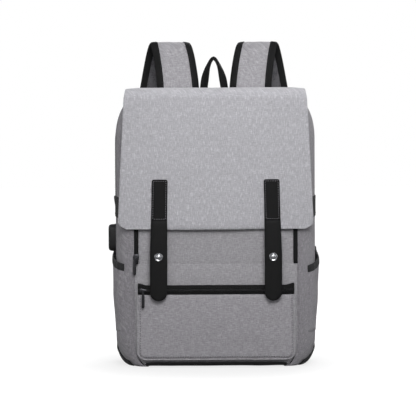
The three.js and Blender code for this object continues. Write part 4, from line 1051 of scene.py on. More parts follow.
def flap_profile():
    """The middle of the flap's cloth as (y, z, share of the way down the hanging part)."""
    top = FLAP_TOP - cloth_mid
    front = FLAP_FRONT + cloth_mid
    line = [(y, top - 1.2 * math.sin(math.pi * ease(y, -46, LAP_Y)), 0)
            for y in spaced(LAP_Y, front + BEND, 14)]
    radius = BEND - cloth_mid
    for t in spaced(0, math.pi / 2, 11)[1:]:
        line.append((front + cloth_mid + radius - radius * math.sin(t) - cloth_mid,
                     top - radius + radius * math.cos(t), 0))
    for share in spaced(0, 1, 40)[1:]:
        z = top - radius + (FLAP_LOW + 1.0 - top + radius) * share
        line.append((front, z, share))
    return line


FOLD_RIDGE_Z = FLAP_TOP - BEND + 2
HEM = 6.0


def flap_rows():
    rows = []
    columns = spaced(-1, 1, 57)
    for y, z, share in flap_profile():
        half = FLAP_HALF_TOP + (FLAP_HALF_LOW - FLAP_HALF_TOP) * share - 1.0
        corner = 12.0
        low = max(0.0, (FLAP_LOW + 1.0 + corner - z) / corner)
        half -= corner * (1 - math.sqrt(max(0.0, 1 - min(1.0, low) ** 2))) if share else 0
        half -= 2.2 * ease(z, FLAP_TOP - BEND, FLAP_TOP)
        row = []
        for a in columns:
            x = half * (0.72 * a + 0.28 * math.sin(a * math.pi / 2))
            point = Vector((x, y, z))
            hang = ease(FLAP_TOP - BEND + 6 - z, 0, 10)
            ridge = 0.9 * math.exp(-((z - FOLD_RIDGE_Z) / 2.6) ** 2)
            ridge -= 0.9 * ease(z, FOLD_RIDGE_Z, FOLD_RIDGE_Z + 8)
            margin = max(0.0, abs(x) - STIFF_HALF)
            edge = min(half - abs(x), z - FLAP_LOW)
            back = 0.085 * margin + 0.9 * math.exp(-((abs(x) - STIFF_HALF) / 1.6) ** 2) * 0.6
            hem_dent = 0.35 * math.exp(-((edge - HEM) / 1.2) ** 2)
            wave = 0.9 * ripple(point, 85, 2.5) + 0.35 * ripple(point, 30, 6.5)
            if share:
                point.y += -ridge + back + hem_dent - wave * ease(share, 0, 0.2)
                point.y -= 1.6 * ripple(Vector((x, 0, 0)), 70, 11) * ease(share, 0.7, 1)
                point.z += 0.8 * ripple(Vector((x, 0, 0)), 90, 3) * ease(share, 0.8, 1)
            else:
                droop = max(0.0, abs(x) - STIFF_HALF) * 0.10
                point.z -= droop + 0.5 * abs(wave)
                point.y += 0.085 * margin * ease(-y, 30, 60)
            row.append(point)
        rows.append(row)
    return rows


def flap_facing(p):
    return p - Vector((0, 0, 250))


rows = flap_rows()
flap = cloth("flap_cloth", rows, FLAP_THICKNESS - 0.5, [heather_lit_flap, lining_cloth], flap_facing)
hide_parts("flap_top", "flap_front")
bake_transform(flap)

hinge_rows = []
hinge_profile = [(BACK_Y + 0.9, BAG_TOP - 2.5), (BACK_Y + 1.2, BAG_TOP + 2), (BACK_Y + 0.2, BAG_TOP + 5.4),
                 (BACK_Y - 3.5, FLAP_TOP - 3.2), (BACK_Y - 8, FLAP_TOP - 2.2), (44, FLAP_TOP - 2.0),
                 (38, FLAP_TOP - 2.1), (32, FLAP_TOP - 2.3), (LAP_Y - 5, FLAP_TOP - 4.2),
                 (LAP_Y - 9, FLAP_TOP - 5.0)]
for y, z in hinge_profile:
    half = FLAP_HALF_TOP - 3.4
    hinge_rows.append([Vector((half * a, y, z - 0.1 * max(0.0, abs(half * a) - STIFF_HALF)
                               - 0.3 * abs(ripple(Vector((half * a, y, 0)), 50, 2))))
                       for a in spaced(-1, 1, 41)])
hinge_cloth = cloth("flap_hinge_cloth", hinge_rows, 2.2, [heather_lit_flap, lining_cloth], flap_facing)
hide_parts("flap_root")
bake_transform(hinge_cloth)

# Stitches: two rows over the lap and one round the hem.
UP = Vector((0, 0, 1))
lap_lines = [[Vector((x, y, FLAP_TOP + 0.1)) for x in spaced(-FLAP_HALF_TOP + 5, FLAP_HALF_TOP - 5, 30)]
             for y in (LAP_Y - 2, LAP_Y - 7)]
lap_places = [p for line in lap_lines for p in walk(line, [UP] * len(line), STITCH_PITCH)]
place(bars("flap_lap_stitches", lap_places, STITCH, 0.6, 0.6, grey_thread), "flap_top", "grey_fabric")


def flap_line(columns, row_from, row_to):
    """Points just proud of the flap's outside down its grid, from one row to another."""
    line = []
    for r in range(row_from, row_to):
        line.append(rows[r][columns] + FRONT * (FLAP_THICKNESS / 2 - 0.15))
    return line


hang_first = 26
last = len(rows) - 1
hem_columns = (2, 54)
hem_line = flap_line(hem_columns[0], hang_first, last - 1)
hem_line += [p + FRONT * (FLAP_THICKNESS / 2 - 0.15) for p in rows[last - 1][3:54]]
hem_line += list(reversed(flap_line(hem_columns[1], hang_first, last - 1)))
hem_places = walk(hem_line, [FRONT] * len(hem_line), STITCH_PITCH)
place(bars("flap_hem_stitches", hem_places, STITCH, 0.55, 0.5, grey_thread), "flap_front", "grey_fabric")

# ---- Leather straps -------------------------------------------------------------------
# Two straps of thick black leather. Each is stitched round its upper end to the flap and
# hangs loose below the last row, with a snap near the round tip.


def leather_grain():
    """Pebbled leather: small cells, a few pores, and a slight polish on the high places."""
    tree, given, out = group_tree("leather grain", {
        "Hide": (0.01, 0.01, 0.01, 1), "Polish": (0.03, 0.03, 0.03, 1), "Pebbles per metre": 750.0,
    }, {"Colour": True, "Roughness": False, "Height": False})
    warp = node(tree, "TexNoise", {"Scale": 300.0, "Detail": 2.0})
    place_at = node(tree, "TexCoord").outputs["Object"]
    shifted = node(tree, "VectorMath", {0: place_at, 1: node(
        tree, "VectorMath", {0: warp.outputs["Color"], 1: (0.0006, 0.0006, 0.0006)},
        operation="MULTIPLY").outputs[0]}, operation="ADD").outputs[0]
    cells = node(tree, "TexVoronoi", {"Vector": shifted, "Scale": given["Pebbles per metre"]}, feature="F1")
    height = reckon(tree, "SUBTRACT", 1.0, cells.outputs["Distance"])
    polish = node(tree, "TexNoise", {"Scale": 60.0, "Detail": 3.0})
    share = reckon(tree, "MULTIPLY", polish.outputs["Fac"], height)
    tree.links.new(blend_colours(tree, share, given["Hide"], given["Polish"]), out["Colour"])
    tree.links.new(reckon(tree, "MULTIPLY_ADD", share, -0.22, 0.62), out["Roughness"])
    tree.links.new(height, out["Height"])
    return tree


LEATHER = leather_grain()
strap_leather = finish_look("black leather", LEATHER, {
    "Hide": linear(0x070708), "Polish": linear(0x0F0F10)}, 0.12, Specular_IOR_Level=0.2)
off_white_thread = finish_look("strap thread", WEAR, {
    "Base": linear(0x77757A), "Rubbed": linear(0x98969A), "Roughness": 0.6}, 0.02)

TOP_ROUND = 3.0
EDGE_SLIM, EDGE_SET_IN = 0.55, 0.25
CREASE_DENT, CREASE_SPREAD = 0.45, 1.1
SNAP_SIDES = 40
STRAP_TOE_IN, STRAP_TRUE_Z = 2.0, 165.0
for side, label in ((-1, "left"), (1, "right")):
    tab_low, tab_high = extent(f"strap_tab_{label}")
    tail_low = extent(f"strap_tail_{label}")[0]
    strap_x = (tab_low.x + tab_high.x) / 2
    strap_half = (tab_high.x - tab_low.x) / 2
    crease_z = tab_low.z
    thickness = tab_high.y - tab_low.y
    lean = tab_low.y - tail_low.y
    rings = []
    stations = [tab_high.z - s for s in (0.0, 0.5, 1.4, 3.0)] + spaced(tab_high.z - 6, crease_z + 3, 14)
    stations += [crease_z + 1.4, crease_z, crease_z - 1.4] + spaced(crease_z - 5, tail_low.z + strap_half, 26)
    stations += [tail_low.z + strap_half * (1 - math.sin(t)) for t in spaced(0, 1.5, 10)[1:]]
    for z in stations:
        width = strap_half
        from_top = tab_high.z - z
        if from_top < TOP_ROUND:
            width -= TOP_ROUND - math.sqrt(TOP_ROUND ** 2 - (TOP_ROUND - from_top) ** 2)
        below = tail_low.z + strap_half - z
        if below > 0:
            width = math.sqrt(max(0.01, strap_half ** 2 - below ** 2))
        hang = min(1.0, max(0.0, (crease_z - z) / (crease_z - tail_low.z)))
        middle = (tab_low.y + tab_high.y) / 2 - lean * hang
        middle -= 0.5 * math.sin(math.pi * hang) + 0.5 * ripple(Vector((strap_x, 0, z)), 60, 4) * hang
        dent = CREASE_DENT * math.exp(-((z - crease_z) / CREASE_SPREAD) ** 2)
        crown = 0.35 * (1 - 0.5 * hang)
        x_off = 0
        if z > STRAP_TRUE_Z:
            x_off = -side * STRAP_TOE_IN * (z - STRAP_TRUE_Z) / (tab_high.z - STRAP_TRUE_Z)
        x_off += 0.8 * ripple(Vector((0, side * 50, z)), 120, 3) * hang
        width *= 0.94 + 0.09 * ease(tab_high.z - z, 30, 120)
        ring = []
        for a in (-1, -0.8, -0.4, 0, 0.4, 0.8, 1):
            slim = thickness / 2 * (EDGE_SLIM if abs(a) == 1 else 1)
            ring.append(Vector((strap_x + x_off + a * (width - (EDGE_SET_IN if abs(a) == 1 else 0)),
                                middle - slim - crown * (1 - a * a) + dent, z)))
        for a in (1, 0.8, 0, -0.8, -1):
            slim = thickness / 2 * (EDGE_SLIM if abs(a) == 1 else 1)
            ring.append(Vector((strap_x + x_off + a * (width - (EDGE_SET_IN if abs(a) == 1 else 0)),
                                middle + slim, z)))
        rings.append(ring)
    strap = loft(f"leather_strap_{label}", rings, [strap_leather], 50)
    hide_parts(f"strap_tab_{label}", f"strap_tail_{label}")
    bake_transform(strap)
    INSET = 2.6
    surface_y = tab_low.y - 0.25
    inner_half = strap_half * 0.95 - INSET
    low_x, high_x = strap_x - side * 0.9, strap_x - side * STRAP_TOE_IN
    around = [Vector((x, surface_y, z)) for x, z in (
        (low_x - inner_half, crease_z + 2.4), (high_x - inner_half, tab_high.z - INSET),
        (high_x + inner_half, tab_high.z - INSET), (low_x + inner_half, crease_z + 2.4),
        (low_x - inner_half, crease_z + 2.4))]
    stitches = walk(around, [FRONT] * len(around), 3.4)
    place(bars(f"strap_stitches_{label}", stitches, 2.5, 0.75, 0.7, off_white_thread),
          "flap_front", "leather")

    # The snap: a spun chrome cap outside, its socket ring inside, the stud on the bag.
    cap_low, cap_high = extent(f"snap_cap_{label}")
    ring_high = extent(f"snap_socket_{label}")[1]
    stud_low, stud_high = extent(f"snap_stud_{label}")
    snap_x, snap_z = (cap_low.x + cap_high.x) / 2, (cap_low.z + cap_high.z) / 2

    def spun(name, profile, y, body, nodes):
        """A turned piece about an axis through the snap, from (radius, distance out) pairs."""
        made = []
        for radius, out in profile:
            made.append([Vector((snap_x + radius * math.cos(math.tau * i / SNAP_SIDES), y - out,
                                 snap_z + radius * math.sin(math.tau * i / SNAP_SIDES)))
                         for i in range(SNAP_SIDES)])
        return place(loft(name, made, [chrome], 40), body, "chrome", *nodes)

    spun(f"snap_dome_{label}", [
        (5.2, -0.4), (5.9, 0.0), (6.0, 0.5), (5.7, 1.0), (5.1, 1.3), (4.5, 1.15), (4.1, 0.85), (3.8, 0.95),
        (3.3, 1.6), (2.5, 2.1), (1.4, 2.35), (0.3, 2.4)],
        cap_high.y, f"strap_tail_{label}", [f"snap_cap_{label}"])
    spun(f"snap_ring_{label}", [
        (3.3, 0.2), (3.1, 0.7), (3.1, 1.9), (3.4, 2.2), (4.9, 2.2), (5.3, 1.9), (5.4, 0.6), (5.0, 0.0),
        (3.6, 0.0)],
        ring_high.y, f"strap_tail_{label}", [f"snap_socket_{label}"])
    post = stud_high.y - stud_low.y
    spun(f"snap_post_{label}", [
        (5.2, -0.4), (5.5, 0.2), (5.3, 0.7), (4.2, 1.0), (3.0, 1.3), (2.5, 1.8), (2.3, 3.0),
        (2.6, post - 1.2), (2.3, post - 0.3), (0.4, post)],
        stud_high.y, "root", [f"snap_stud_{label}"])

# ---- Sliders and pullers --------------------------------------------------------------
# Die-cast sliders: a lower and an upper wing joined by a post, with a bail on top that
# holds the puller. Black plated; each puller is a stamped strip with a hole at its end.


def slider(name, centre, ahead, out, body, node_name, size):
    """A slider on its zip: two wings with flared mouths, and the bail over the upper one."""
    side = ahead.cross(out).normalized()
    half, length, height = size

    def outline(grow, lift):
        shape = [(-length, 0.52), (-length * 0.45, 0.62), (0.0, 0.9), (length * 0.5, 1.0),
                 (length * 0.86, 0.86), (length, 0.6)]
        ring = [centre + ahead * (a + (grow if a > 0 else -grow)) + side * (half * b + grow) + out * lift
                for a, b in shape]
        ring += [centre + ahead * (a + (grow if a > 0 else -grow)) - side * (half * b + grow) + out * lift
                 for a, b in reversed(shape)]
        return ring

    top = loft(name, [outline(-0.5, 1.0), outline(0, 1.25), outline(0, height - 0.9),
                      outline(-0.5, height - 0.5), outline(-1.1, height - 0.35)], [gunmetal], 40)
    place(top, body, "gunmetal", node_name)
    arch_line = [centre + ahead * (length * 0.62 * math.cos(t)) + out * (height - 0.6 + 1.0 * math.sin(t))
                 for t in spaced(0, math.pi, 11)]
    bail = loft(f"{name}_bail", tube_rings(arch_line, [(a * 1.6, b * 0.8) for a, b in ring_section(0.5, 8)],
                                           lambda i: out), [gunmetal], 60)
    place(bail, body, "gunmetal")


PULLER_HALF = 2.2


def puller(name, top, down, out, length, body, node_name):
    """A stamped puller: a narrow neck, a rounded strip with a slot near its end."""
    side = down.cross(out).normalized()
    stations = [(0.0, 0.55), (1.2, 0.8), (2.6, 0.72), (5.0, 0.8), (9.0, 0.95), (length * 0.6, 1.0)]
    stations += [(length - PULLER_HALF + PULLER_HALF * math.sin(t), math.cos(t)) for t in spaced(0, 1.45, 7)]
    rings = []
    for run, wide in stations:
        half_here = max(0.25, PULLER_HALF * wide)
        rings.append([top + down * run + side * half_here * a + out * b
                      for a, b in ((-1, 0.12), (-0.86, 0.0), (0.86, 0.0), (1, 0.12), (1, 0.78), (0.86, 0.95),
                                   (-0.86, 0.95), (-1, 0.78))])
    place(loft(name, rings, [gunmetal], 40), body, "gunmetal", node_name)
    hole = top + down * (length - PULLER_HALF * 1.3) + out * 0.98
    rim = [hole + side * 1.0 * math.cos(t) + down * 1.0 * math.sin(t) for t in spaced(0, math.tau, 15)[:-1]]
    rings = [[p + (p - hole).normalized() * a + out * b
              for a, b in ((-0.3, 0), (0, 0.22), (0.35, 0), (0, -0.2))] for p in rim]
    place(loft(f"{name}_eyelet", rings, [gunmetal], 40, closed=True), body, "gunmetal")


DOWN = Vector((0, 0, -1))
slider_low, slider_high = extent("front_slider")
puller_low, puller_high = extent("front_puller")
middle = (slider_low + slider_high) / 2
slider("front_zip_slider", Vector((middle.x, slider_high.y + 0.3, middle.z)), DOWN * -1, FRONT,
       "front_slider", "front_slider", (4.4, 7.4, 3.6))
pivot = Vector(((puller_low.x + puller_high.x) / 2, puller_high.y, puller_high.z))
puller("front_zip_puller", pivot, DOWN, FRONT, puller_high.z - puller_low.z,
       "front_puller", "front_puller")
slider_low, slider_high = extent("pocket_slider")
puller_low, puller_high = extent("pocket_puller")
middle = (slider_low + slider_high) / 2
slider("pocket_zip_slider", Vector((middle.x, slider_high.y + 0.3, middle.z)), Vector((-1, 0, 0)), FRONT,
       "pocket_slider", "pocket_slider", (3.4, 5.8, 3.4))
pivot = Vector(((puller_low.x + puller_high.x) / 2, puller_high.y, puller_high.z))
puller("pocket_zip_puller", pivot, DOWN, FRONT, puller_high.z - puller_low.z,
       "pocket_puller", "pocket_puller")
for side, label in ((-1, "left"), (1, "right")):
    low, high = extent(f"main_slider_{label}")
    inner = high.x if side < 0 else low.x
    centre = Vector((inner + side * 6.0, (low.y + high.y) / 2, low.z))
    slider(f"main_zip_slider_{label}", centre, Vector((-side, 0, 0)), UP, f"main_slider_{label}",
           f"main_slider_{label}", (3.4, 5.8, 3.3))
    rings = []
    for run, wide in ((0, 0.6), (3, 0.8), (8, 1.0), (18, 1.0), (23, 0.9), (25.3, 0.45)):
        rings.append([centre + Vector((side * (run - 2), 2.1 * wide * a, 3.2 + b))
                      for a, b in ((-1, 0.1), (1, 0.1), (1, 0.8), (0.8, 0.95), (-0.8, 0.95), (-1, 0.8))])
    place(loft(f"main_zip_puller_{label}", rings, [gunmetal], 40), f"main_slider_{label}", "gunmetal")

# ---- Inside ---------------------------------------------------------------------------
# A lining wall parts the two compartments, and a padded sleeve with a bound top edge
# stands in front of the back panel for the laptop.


def wall_bulge(x, z, rim):
    return SEAM_Y + 1.0 + 0.6 * ripple(Vector((x, 0, z)), 55, 2) * ease(rim, 0, 30)


wall_rows = filled_arch(BAG_HALF - 4.5, 4.5, BAG_TOP - 5, 33, 58, 22, 19, wall_bulge)
wall = cloth("compartment_wall", wall_rows, 1.2, [lining_cloth], lambda p: FRONT)
place(wall, "root", "lining", "compartment_divider")
sleeve_low, sleeve_high = extent("laptop_sleeve")
sleeve_mid = (sleeve_low.y + sleeve_high.y) / 2
sleeve_rows = [[Vector((x, sleeve_mid + 0.4 * ripple(Vector((x, 0, z)), 40, 3), z))
                for x in spaced(sleeve_low.x + 1, sleeve_high.x - 1, 21)]
               for z in spaced(sleeve_low.z + 1, sleeve_high.z - 2, 23)]
sleeve = cloth("laptop_sleeve_pad", sleeve_rows, 4.2, [lining_cloth], lambda p: FRONT)
place(sleeve, "root", "lining", "laptop_sleeve")
bound = [Vector((x, sleeve_mid, sleeve_high.z - 1.6))
         for x in spaced(sleeve_low.x + 1, sleeve_high.x - 1, 30)]
place(loft("laptop_sleeve_binding", tube_rings(bound, [(a, b * 1.4) for a, b in ring_section(2.6, 10)],
                                               lambda i: UP), [black_cloth], 80), "root", "black_fabric")

# ---- Back and lumbar pads -------------------------------------------------------------
# Foam pads under black air mesh, sewn flat to the back panel on either side of an open
# channel. The mesh is blown tight over the foam, then pressed in along its sewn channels.


def air_mesh():
    """Spacer mesh: rows of small dark holes between soft knitted ridges."""
    tree, given, out = group_tree("air mesh", {
        "Knit": (0.05, 0.05, 0.05, 1), "Hole": (0.01, 0.01, 0.01, 1), "Holes per metre": 330.0,
    }, {"Colour": True, "Roughness": False, "Height": False})
    at = node(tree, "TexCoord").outputs["Object"]
    cells = node(tree, "TexVoronoi", {"Vector": at, "Scale": given["Holes per metre"], "Randomness": 0.35})
    ridge = node(tree, "MapRange", {"Value": cells.outputs["Distance"], "From Min": 0.18, "From Max": 0.42})
    fuzz = node(tree, "TexNoise", {"Scale": 1400.0, "Detail": 2.0})
    uneven = reckon(tree, "MULTIPLY_ADD", fuzz.outputs["Fac"], 0.5, 0.7)
    share = reckon(tree, "MULTIPLY", ridge.outputs[0], uneven)
    tree.links.new(blend_colours(tree, share, given["Hole"], given["Knit"]), out["Colour"])
    tree.links.new(reckon(tree, "MULTIPLY_ADD", ridge.outputs[0], -0.1, 0.98), out["Roughness"])
    tree.links.new(ridge.outputs[0], out["Height"])
    return tree


AIR_MESH = air_mesh()
back_mesh = finish_look("black air mesh", AIR_MESH, {
    "Knit": linear(0x55555A), "Hole": linear(0x1A1A1C)}, 0.5, Sheen_Weight=0.3, Specular_IOR_Level=0.2)
strap_mesh = finish_look("grey air mesh", AIR_MESH, {
    "Knit": linear(0x6A696D), "Hole": linear(0x343437), "Holes per metre": 420.0},
    0.35, Sheen_Weight=0.3, Specular_IOR_Level=0.2)
VOXEL, SIM_FRAMES, PRESSURE, MOST_SWELL = 4.0, 20, 4.0, 5.0


def start_pillow(name, low, high, corner):
    """A low cushion form with rounded corners, a little smaller than the finished pad."""
    centre = (low + high) / 2
    half_x, half_z = (high.x - low.x) / 2, (high.z - low.z) / 2
    rings = []
    for up, shrink in ((0.0, 1.6), (1.6, 1.0), (3.4, 2.2), (4.6, 5.5)):
        ring = rounded_ring(half_x - shrink, half_z - shrink, corner)
        rings.append([Vector((centre.x + a, low.y + 0.2 + up, centre.z + b)) for a, b in ring])
    return loft(name, rings, [back_mesh], 80)


def inflate(obj, floor_y):
    """Blows the cloth up over its foam, keeps the sewn side flat, and applies the result."""
    remesh = obj.modifiers.new("even", "REMESH")
    remesh.mode = "VOXEL"
    remesh.voxel_size = VOXEL * MM
    remesh.use_smooth_shade = True
    graph = bpy.context.evaluated_depsgraph_get()
    even = bpy.data.meshes.new_from_object(obj.evaluated_get(graph))
    obj.modifiers.clear()
    obj.data = even
    rest_points = [v.co.copy() for v in even.vertices]
    pins = obj.vertex_groups.new(name="sewn")
    pins.add([v.index for v in even.vertices if v.co.y < (floor_y + 1.2) * MM], 1.0, "REPLACE")
    blow = obj.modifiers.new("blow", "CLOTH")
    blow.settings.use_pressure = True
    blow.settings.uniform_pressure_force = PRESSURE
    blow.settings.effector_weights.gravity = 0
    blow.settings.vertex_group_mass = "sewn"
    blow.point_cache.frame_start, blow.point_cache.frame_end = 1, SIM_FRAMES
    for step in range(1, SIM_FRAMES + 1):
        scene.frame_set(step)
    blown = obj.evaluated_get(bpy.context.evaluated_depsgraph_get()).to_mesh()
    swollen = [v.co.copy() for v in blown.vertices]
    obj.modifiers.clear()
    obj.vertex_groups.clear()
    scene.frame_set(1)
    for vertex, start, end in zip(even.vertices, rest_points, swollen):
        way = end - start
        if way.length > MOST_SWELL * MM:
            way *= MOST_SWELL * MM / way.length
        vertex.co = start + way
    finer = obj.modifiers.new("finer", "SUBSURF")
    finer.levels = finer.render_levels = 1
    graph = bpy.context.evaluated_depsgraph_get()
    smooth = bpy.data.meshes.new_from_object(obj.evaluated_get(graph))
    obj.modifiers.clear()
    obj.data = smooth


def press_in(obj, low, high, channels, depth):
    """Presses sewn channels into the outer face, and keeps the pad on the panel and in its room."""
    for vertex in obj.data.vertices:
        x, y, z = vertex.co / MM
        share = ease(y, low.y + 1.5, high.y - 2)
        press = sum(depth * math.exp(-((z - at) / 2.6) ** 2) for at in channels)
        y = max(low.y + 0.1, y - press * share)
        vertex.co = Vector((min(max(x, low.x - 1.5), high.x + 1.5), min(y, high.y + 2.5),
                            min(max(z, low.z - 1.5), high.z + 1.5))) * MM
    for face in obj.data.polygons:
        face.use_smooth = True


for kind, channel_shares in (("back_pad", (0.34, 0.67)), ("lumbar_pad", (0.5,))):
    for label in ("left", "right"):
        low, high = extent(f"{kind}_{label}")
        pad = start_pillow(f"{kind}_mesh_{label}", low, high, 20)
        inflate(pad, low.y)
        channels = [low.z + (high.z - low.z) * share for share in channel_shares]
        press_in(pad, low, high, channels, 3.2)
        pad.data.materials.clear()
        pad.data.materials.append(back_mesh)
        place(pad, "root", "air_mesh", f"{kind}_{label}")
        half_x, half_z = (high.x - low.x) / 2 + 1.2, (high.z - low.z) / 2 + 1.2
        middle = (low + high) / 2
        ring = [Vector((middle.x + a, low.y + 1.0, middle.z + b))
                for a, b in rounded_ring(half_x, half_z, 21, 8)]
        rings = [[p + (p - middle).normalized() * a + Vector((0, b, 0)) for a, b in ring_section(1.4, 8)]
                 for p in ring]
        place(loft(f"{kind}_piping_{label}", rings, [black_cloth], 80, closed=True), "root", "black_fabric")

# ---- Trolley sleeve -------------------------------------------------------------------
# A band of cloth across the back, sewn down at both ends, that slips over the handle of
# a wheeled case. Its upper and lower edges are turned in and stitched.
trolley_low, trolley_high = extent("trolley_sleeve")
trolley_half = trolley_high.x
trolley_rows = []
for z in spaced(trolley_low.z + 1, trolley_high.z - 1, 13):
    row = []
    for x in spaced(-trolley_half + 0.5, trolley_half - 0.5, 61):
        rise = ease(trolley_half - abs(x), 5, 21)
        y = trolley_low.y + 1.2 + (trolley_high.y - trolley_low.y - 2.4) * rise
        y -= 1.6 * math.sin(math.pi * (z - trolley_low.z) / (trolley_high.z - trolley_low.z)) * rise
        y += 0.7 * ripple(Vector((x, 0, z)), 48, 12) * rise
        row.append(Vector((x, y, z)))
    trolley_rows.append(row)
trolley = cloth("trolley_sleeve_cloth", trolley_rows, 2.0, [heather_shaded_gusset, lining_cloth],
                lambda p: Vector((0, 1, 0)))
place(trolley, "root", "grey_fabric", "trolley_sleeve")
BACK = Vector((0, 1, 0))
sleeve_lines = [[p + BACK * 0.95 for p in trolley_rows[k]] for k in (1, 11)]
sleeve_lines += [[row[k] + BACK * 0.95 for row in trolley_rows[1:12]] for k in (1, 59)]
sleeve_places = [p for line in sleeve_lines for p in walk(line, [BACK] * len(line), STITCH_PITCH)]
place(bars("trolley_sleeve_stitches", sleeve_places, STITCH, 0.6, 0.5, grey_thread), "root", "grey_fabric")

# ---- Strap yoke -----------------------------------------------------------------------
# A black band across the top of the back takes the load of the shoulder straps and the
# handle. It is stitched along its upper and lower edges.
yoke_low, yoke_high = extent("strap_yoke")
YOKE_TOP_Z = BAG_TOP - 10


def yoke_y(z):
    return yoke_low.y + 1.3 + 0.9 * math.sin(math.pi * ease(z, yoke_low.z, YOKE_TOP_Z)) ** 0.5


yoke_rows = [[Vector((x, yoke_y(z), z))
              for x in spaced(yoke_low.x + 0.6, yoke_high.x - 0.6, 41)]
             for z in spaced(yoke_low.z + 0.6, YOKE_TOP_Z - 0.6, 8)]
yoke = cloth("strap_yoke_band", yoke_rows, 2.0, [black_cloth], lambda p: BACK)
place(yoke, "root", "black_fabric", "strap_yoke")
yoke_lines = [[p + BACK * 1.1 for p in yoke_rows[k]] for k in (1, 6)]
yoke_places = [p for line in yoke_lines for p in walk(line, [BACK] * len(line), STITCH_PITCH)]
place(bars("strap_yoke_stitches", yoke_places, STITCH, 0.6, 0.5, black_thread), "root", "black_fabric")

# ---- Carrying handle ------------------------------------------------------------------
# One length of thick black webbing, folded into a loop. It leaves the seam flat, twists a
# quarter turn on the way up, and stands on edge over the top.
webbing_look = finish_look("black webbing", WOVEN_TAPE, {
    "Yarn": linear(0x09090A), "Rib": linear(0x141415), "Ribs per metre": 560.0}, 0.45, Specular_IOR_Level=0.3)


def smooth_line(points, count):
    """Evenly spaced points on a centripetal Catmull-Rom curve through the given ones."""
    given = [Vector(p) for p in points]
    given = [given[0] * 2 - given[1]] + given + [given[-1] * 2 - given[-2]]
    dense = []
    for i in range(1, len(given) - 2):
        p = given[i - 1:i + 3]
        knots = [0.0]
        for a, b in zip(p, p[1:]):
            knots.append(knots[-1] + max(1e-4, (b - a).length ** 0.5))
        for k in range(24):
            t = knots[1] + (knots[2] - knots[1]) * k / 24
            level = p
            for depth in (1, 2, 3):
                level = [level[j] * ((knots[j + depth] - t) / (knots[j + depth] - knots[j]))
                         + level[j + 1] * ((t - knots[j]) / (knots[j + depth] - knots[j]))
                         for j in range(len(level) - 1)]
            dense.append(level[0])
    dense.append(given[-2])
    run = [0.0]
    for a, b in zip(dense, dense[1:]):
        run.append(run[-1] + (b - a).length)
    line, j = [], 0
    for target in spaced(0, run[-1], count):
        while j < len(run) - 2 and run[j + 1] < target:
            j += 1
        share = (target - run[j]) / max(1e-6, run[j + 1] - run[j])
        line.append(dense[j].lerp(dense[j + 1], share))
    return line


handle_low, handle_high = extent("top_handle")
HANDLE_HALF, HANDLE_WIDTH, HANDLE_THICKNESS = 16.8, 16.5, 5.2
handle_y = (handle_low.y + handle_high.y) / 2
handle_rise = handle_high.z - HANDLE_THICKNESS / 2 - handle_low.z
handle_points = []
for turn in spaced(0, math.pi, 13):
    wide = math.copysign(abs(math.cos(turn)) ** 1.3, math.cos(turn))
    handle_points.append((-1.0 * math.sin(turn) - HANDLE_HALF * wide, handle_y,
                          handle_low.z + handle_rise * math.sin(turn)))
handle_line = smooth_line(handle_points, 61)
FOOT_TWIST = math.radians(36)
handle_rings = []
for i, centre in enumerate(handle_line):
    share = i / (len(handle_line) - 1)
    ahead = (handle_line[min(i + 1, 60)] - handle_line[max(i - 1, 0)]).normalized()
    across = (BACK - ahead * BACK.dot(ahead)).normalized()
    low_share = 1 - ease(min(share, 1 - share), 0.22, 0.49)
    twist = FOOT_TWIST * low_share * (-1 if share < 0.5 else 1)
    across = Matrix.Rotation(twist, 3, ahead) @ across
    face = ahead.cross(across)
    half = HANDLE_WIDTH / 2 * (0.82 + 0.1 * low_share)
    thick = HANDLE_THICKNESS / 2
    handle_rings.append([centre + across * half * a + face * thick * b for a, b in (
        (-1, -0.35), (-0.93, -0.85), (-0.6, -1), (0, -1), (0.6, -1), (0.93, -0.85), (1, -0.35),
        (1, 0.35), (0.93, 0.85), (0.6, 1), (0, 1), (-0.6, 1), (-0.93, 0.85), (-1, 0.35))])
handle = loft("top_handle_webbing", handle_rings, [webbing_look], 60)
place(handle, "handle", "webbing", "top_handle")

# ---- Shoulder straps ------------------------------------------------------------------
# Curved straps of foam between heather cloth outside and grey mesh inside, bound all round
# in folded black tape. Each is sewn into the yoke and arches up and down behind the bag.
SHOULDER_POINTS = [
    (-55.5, 69.5, 383.5), (-55.5, 70, 413), (-58, 75.5, 438), (-63, 88, 468), (-68, 104, 481.5),
    (-74, 120, 469), (-84, 130, 425.5), (-95, 130, 366), (-105, 122, 297), (-112, 111, 239), (-115, 104, 205)]
SHOULDER_HALF, SHOULDER_THICKNESS, SHOULDER_END = 32.0, 11.0, 0.8
BINDING = 9.5
heather_strap = heather("heather cloth strap", 0xA19FA3, 0xD0CED2, 0x737175, 0.5, 0.6)
binding_tape = finish_look("binding tape", WOVEN_TAPE, {
    "Yarn": linear(0x09090A), "Rib": linear(0x131314), "Ribs per metre": 850.0}, 0.2, Specular_IOR_Level=0.3)
SHOULDER_STATIONS = 110
left_line = smooth_line(SHOULDER_POINTS, SHOULDER_STATIONS)


def pad_half_thickness(a):
    """Half the pad's thickness across it, from the full middle to the bound edge."""
    return SHOULDER_THICKNESS / 2 * (1 - 0.66 * abs(a) ** 2.6)


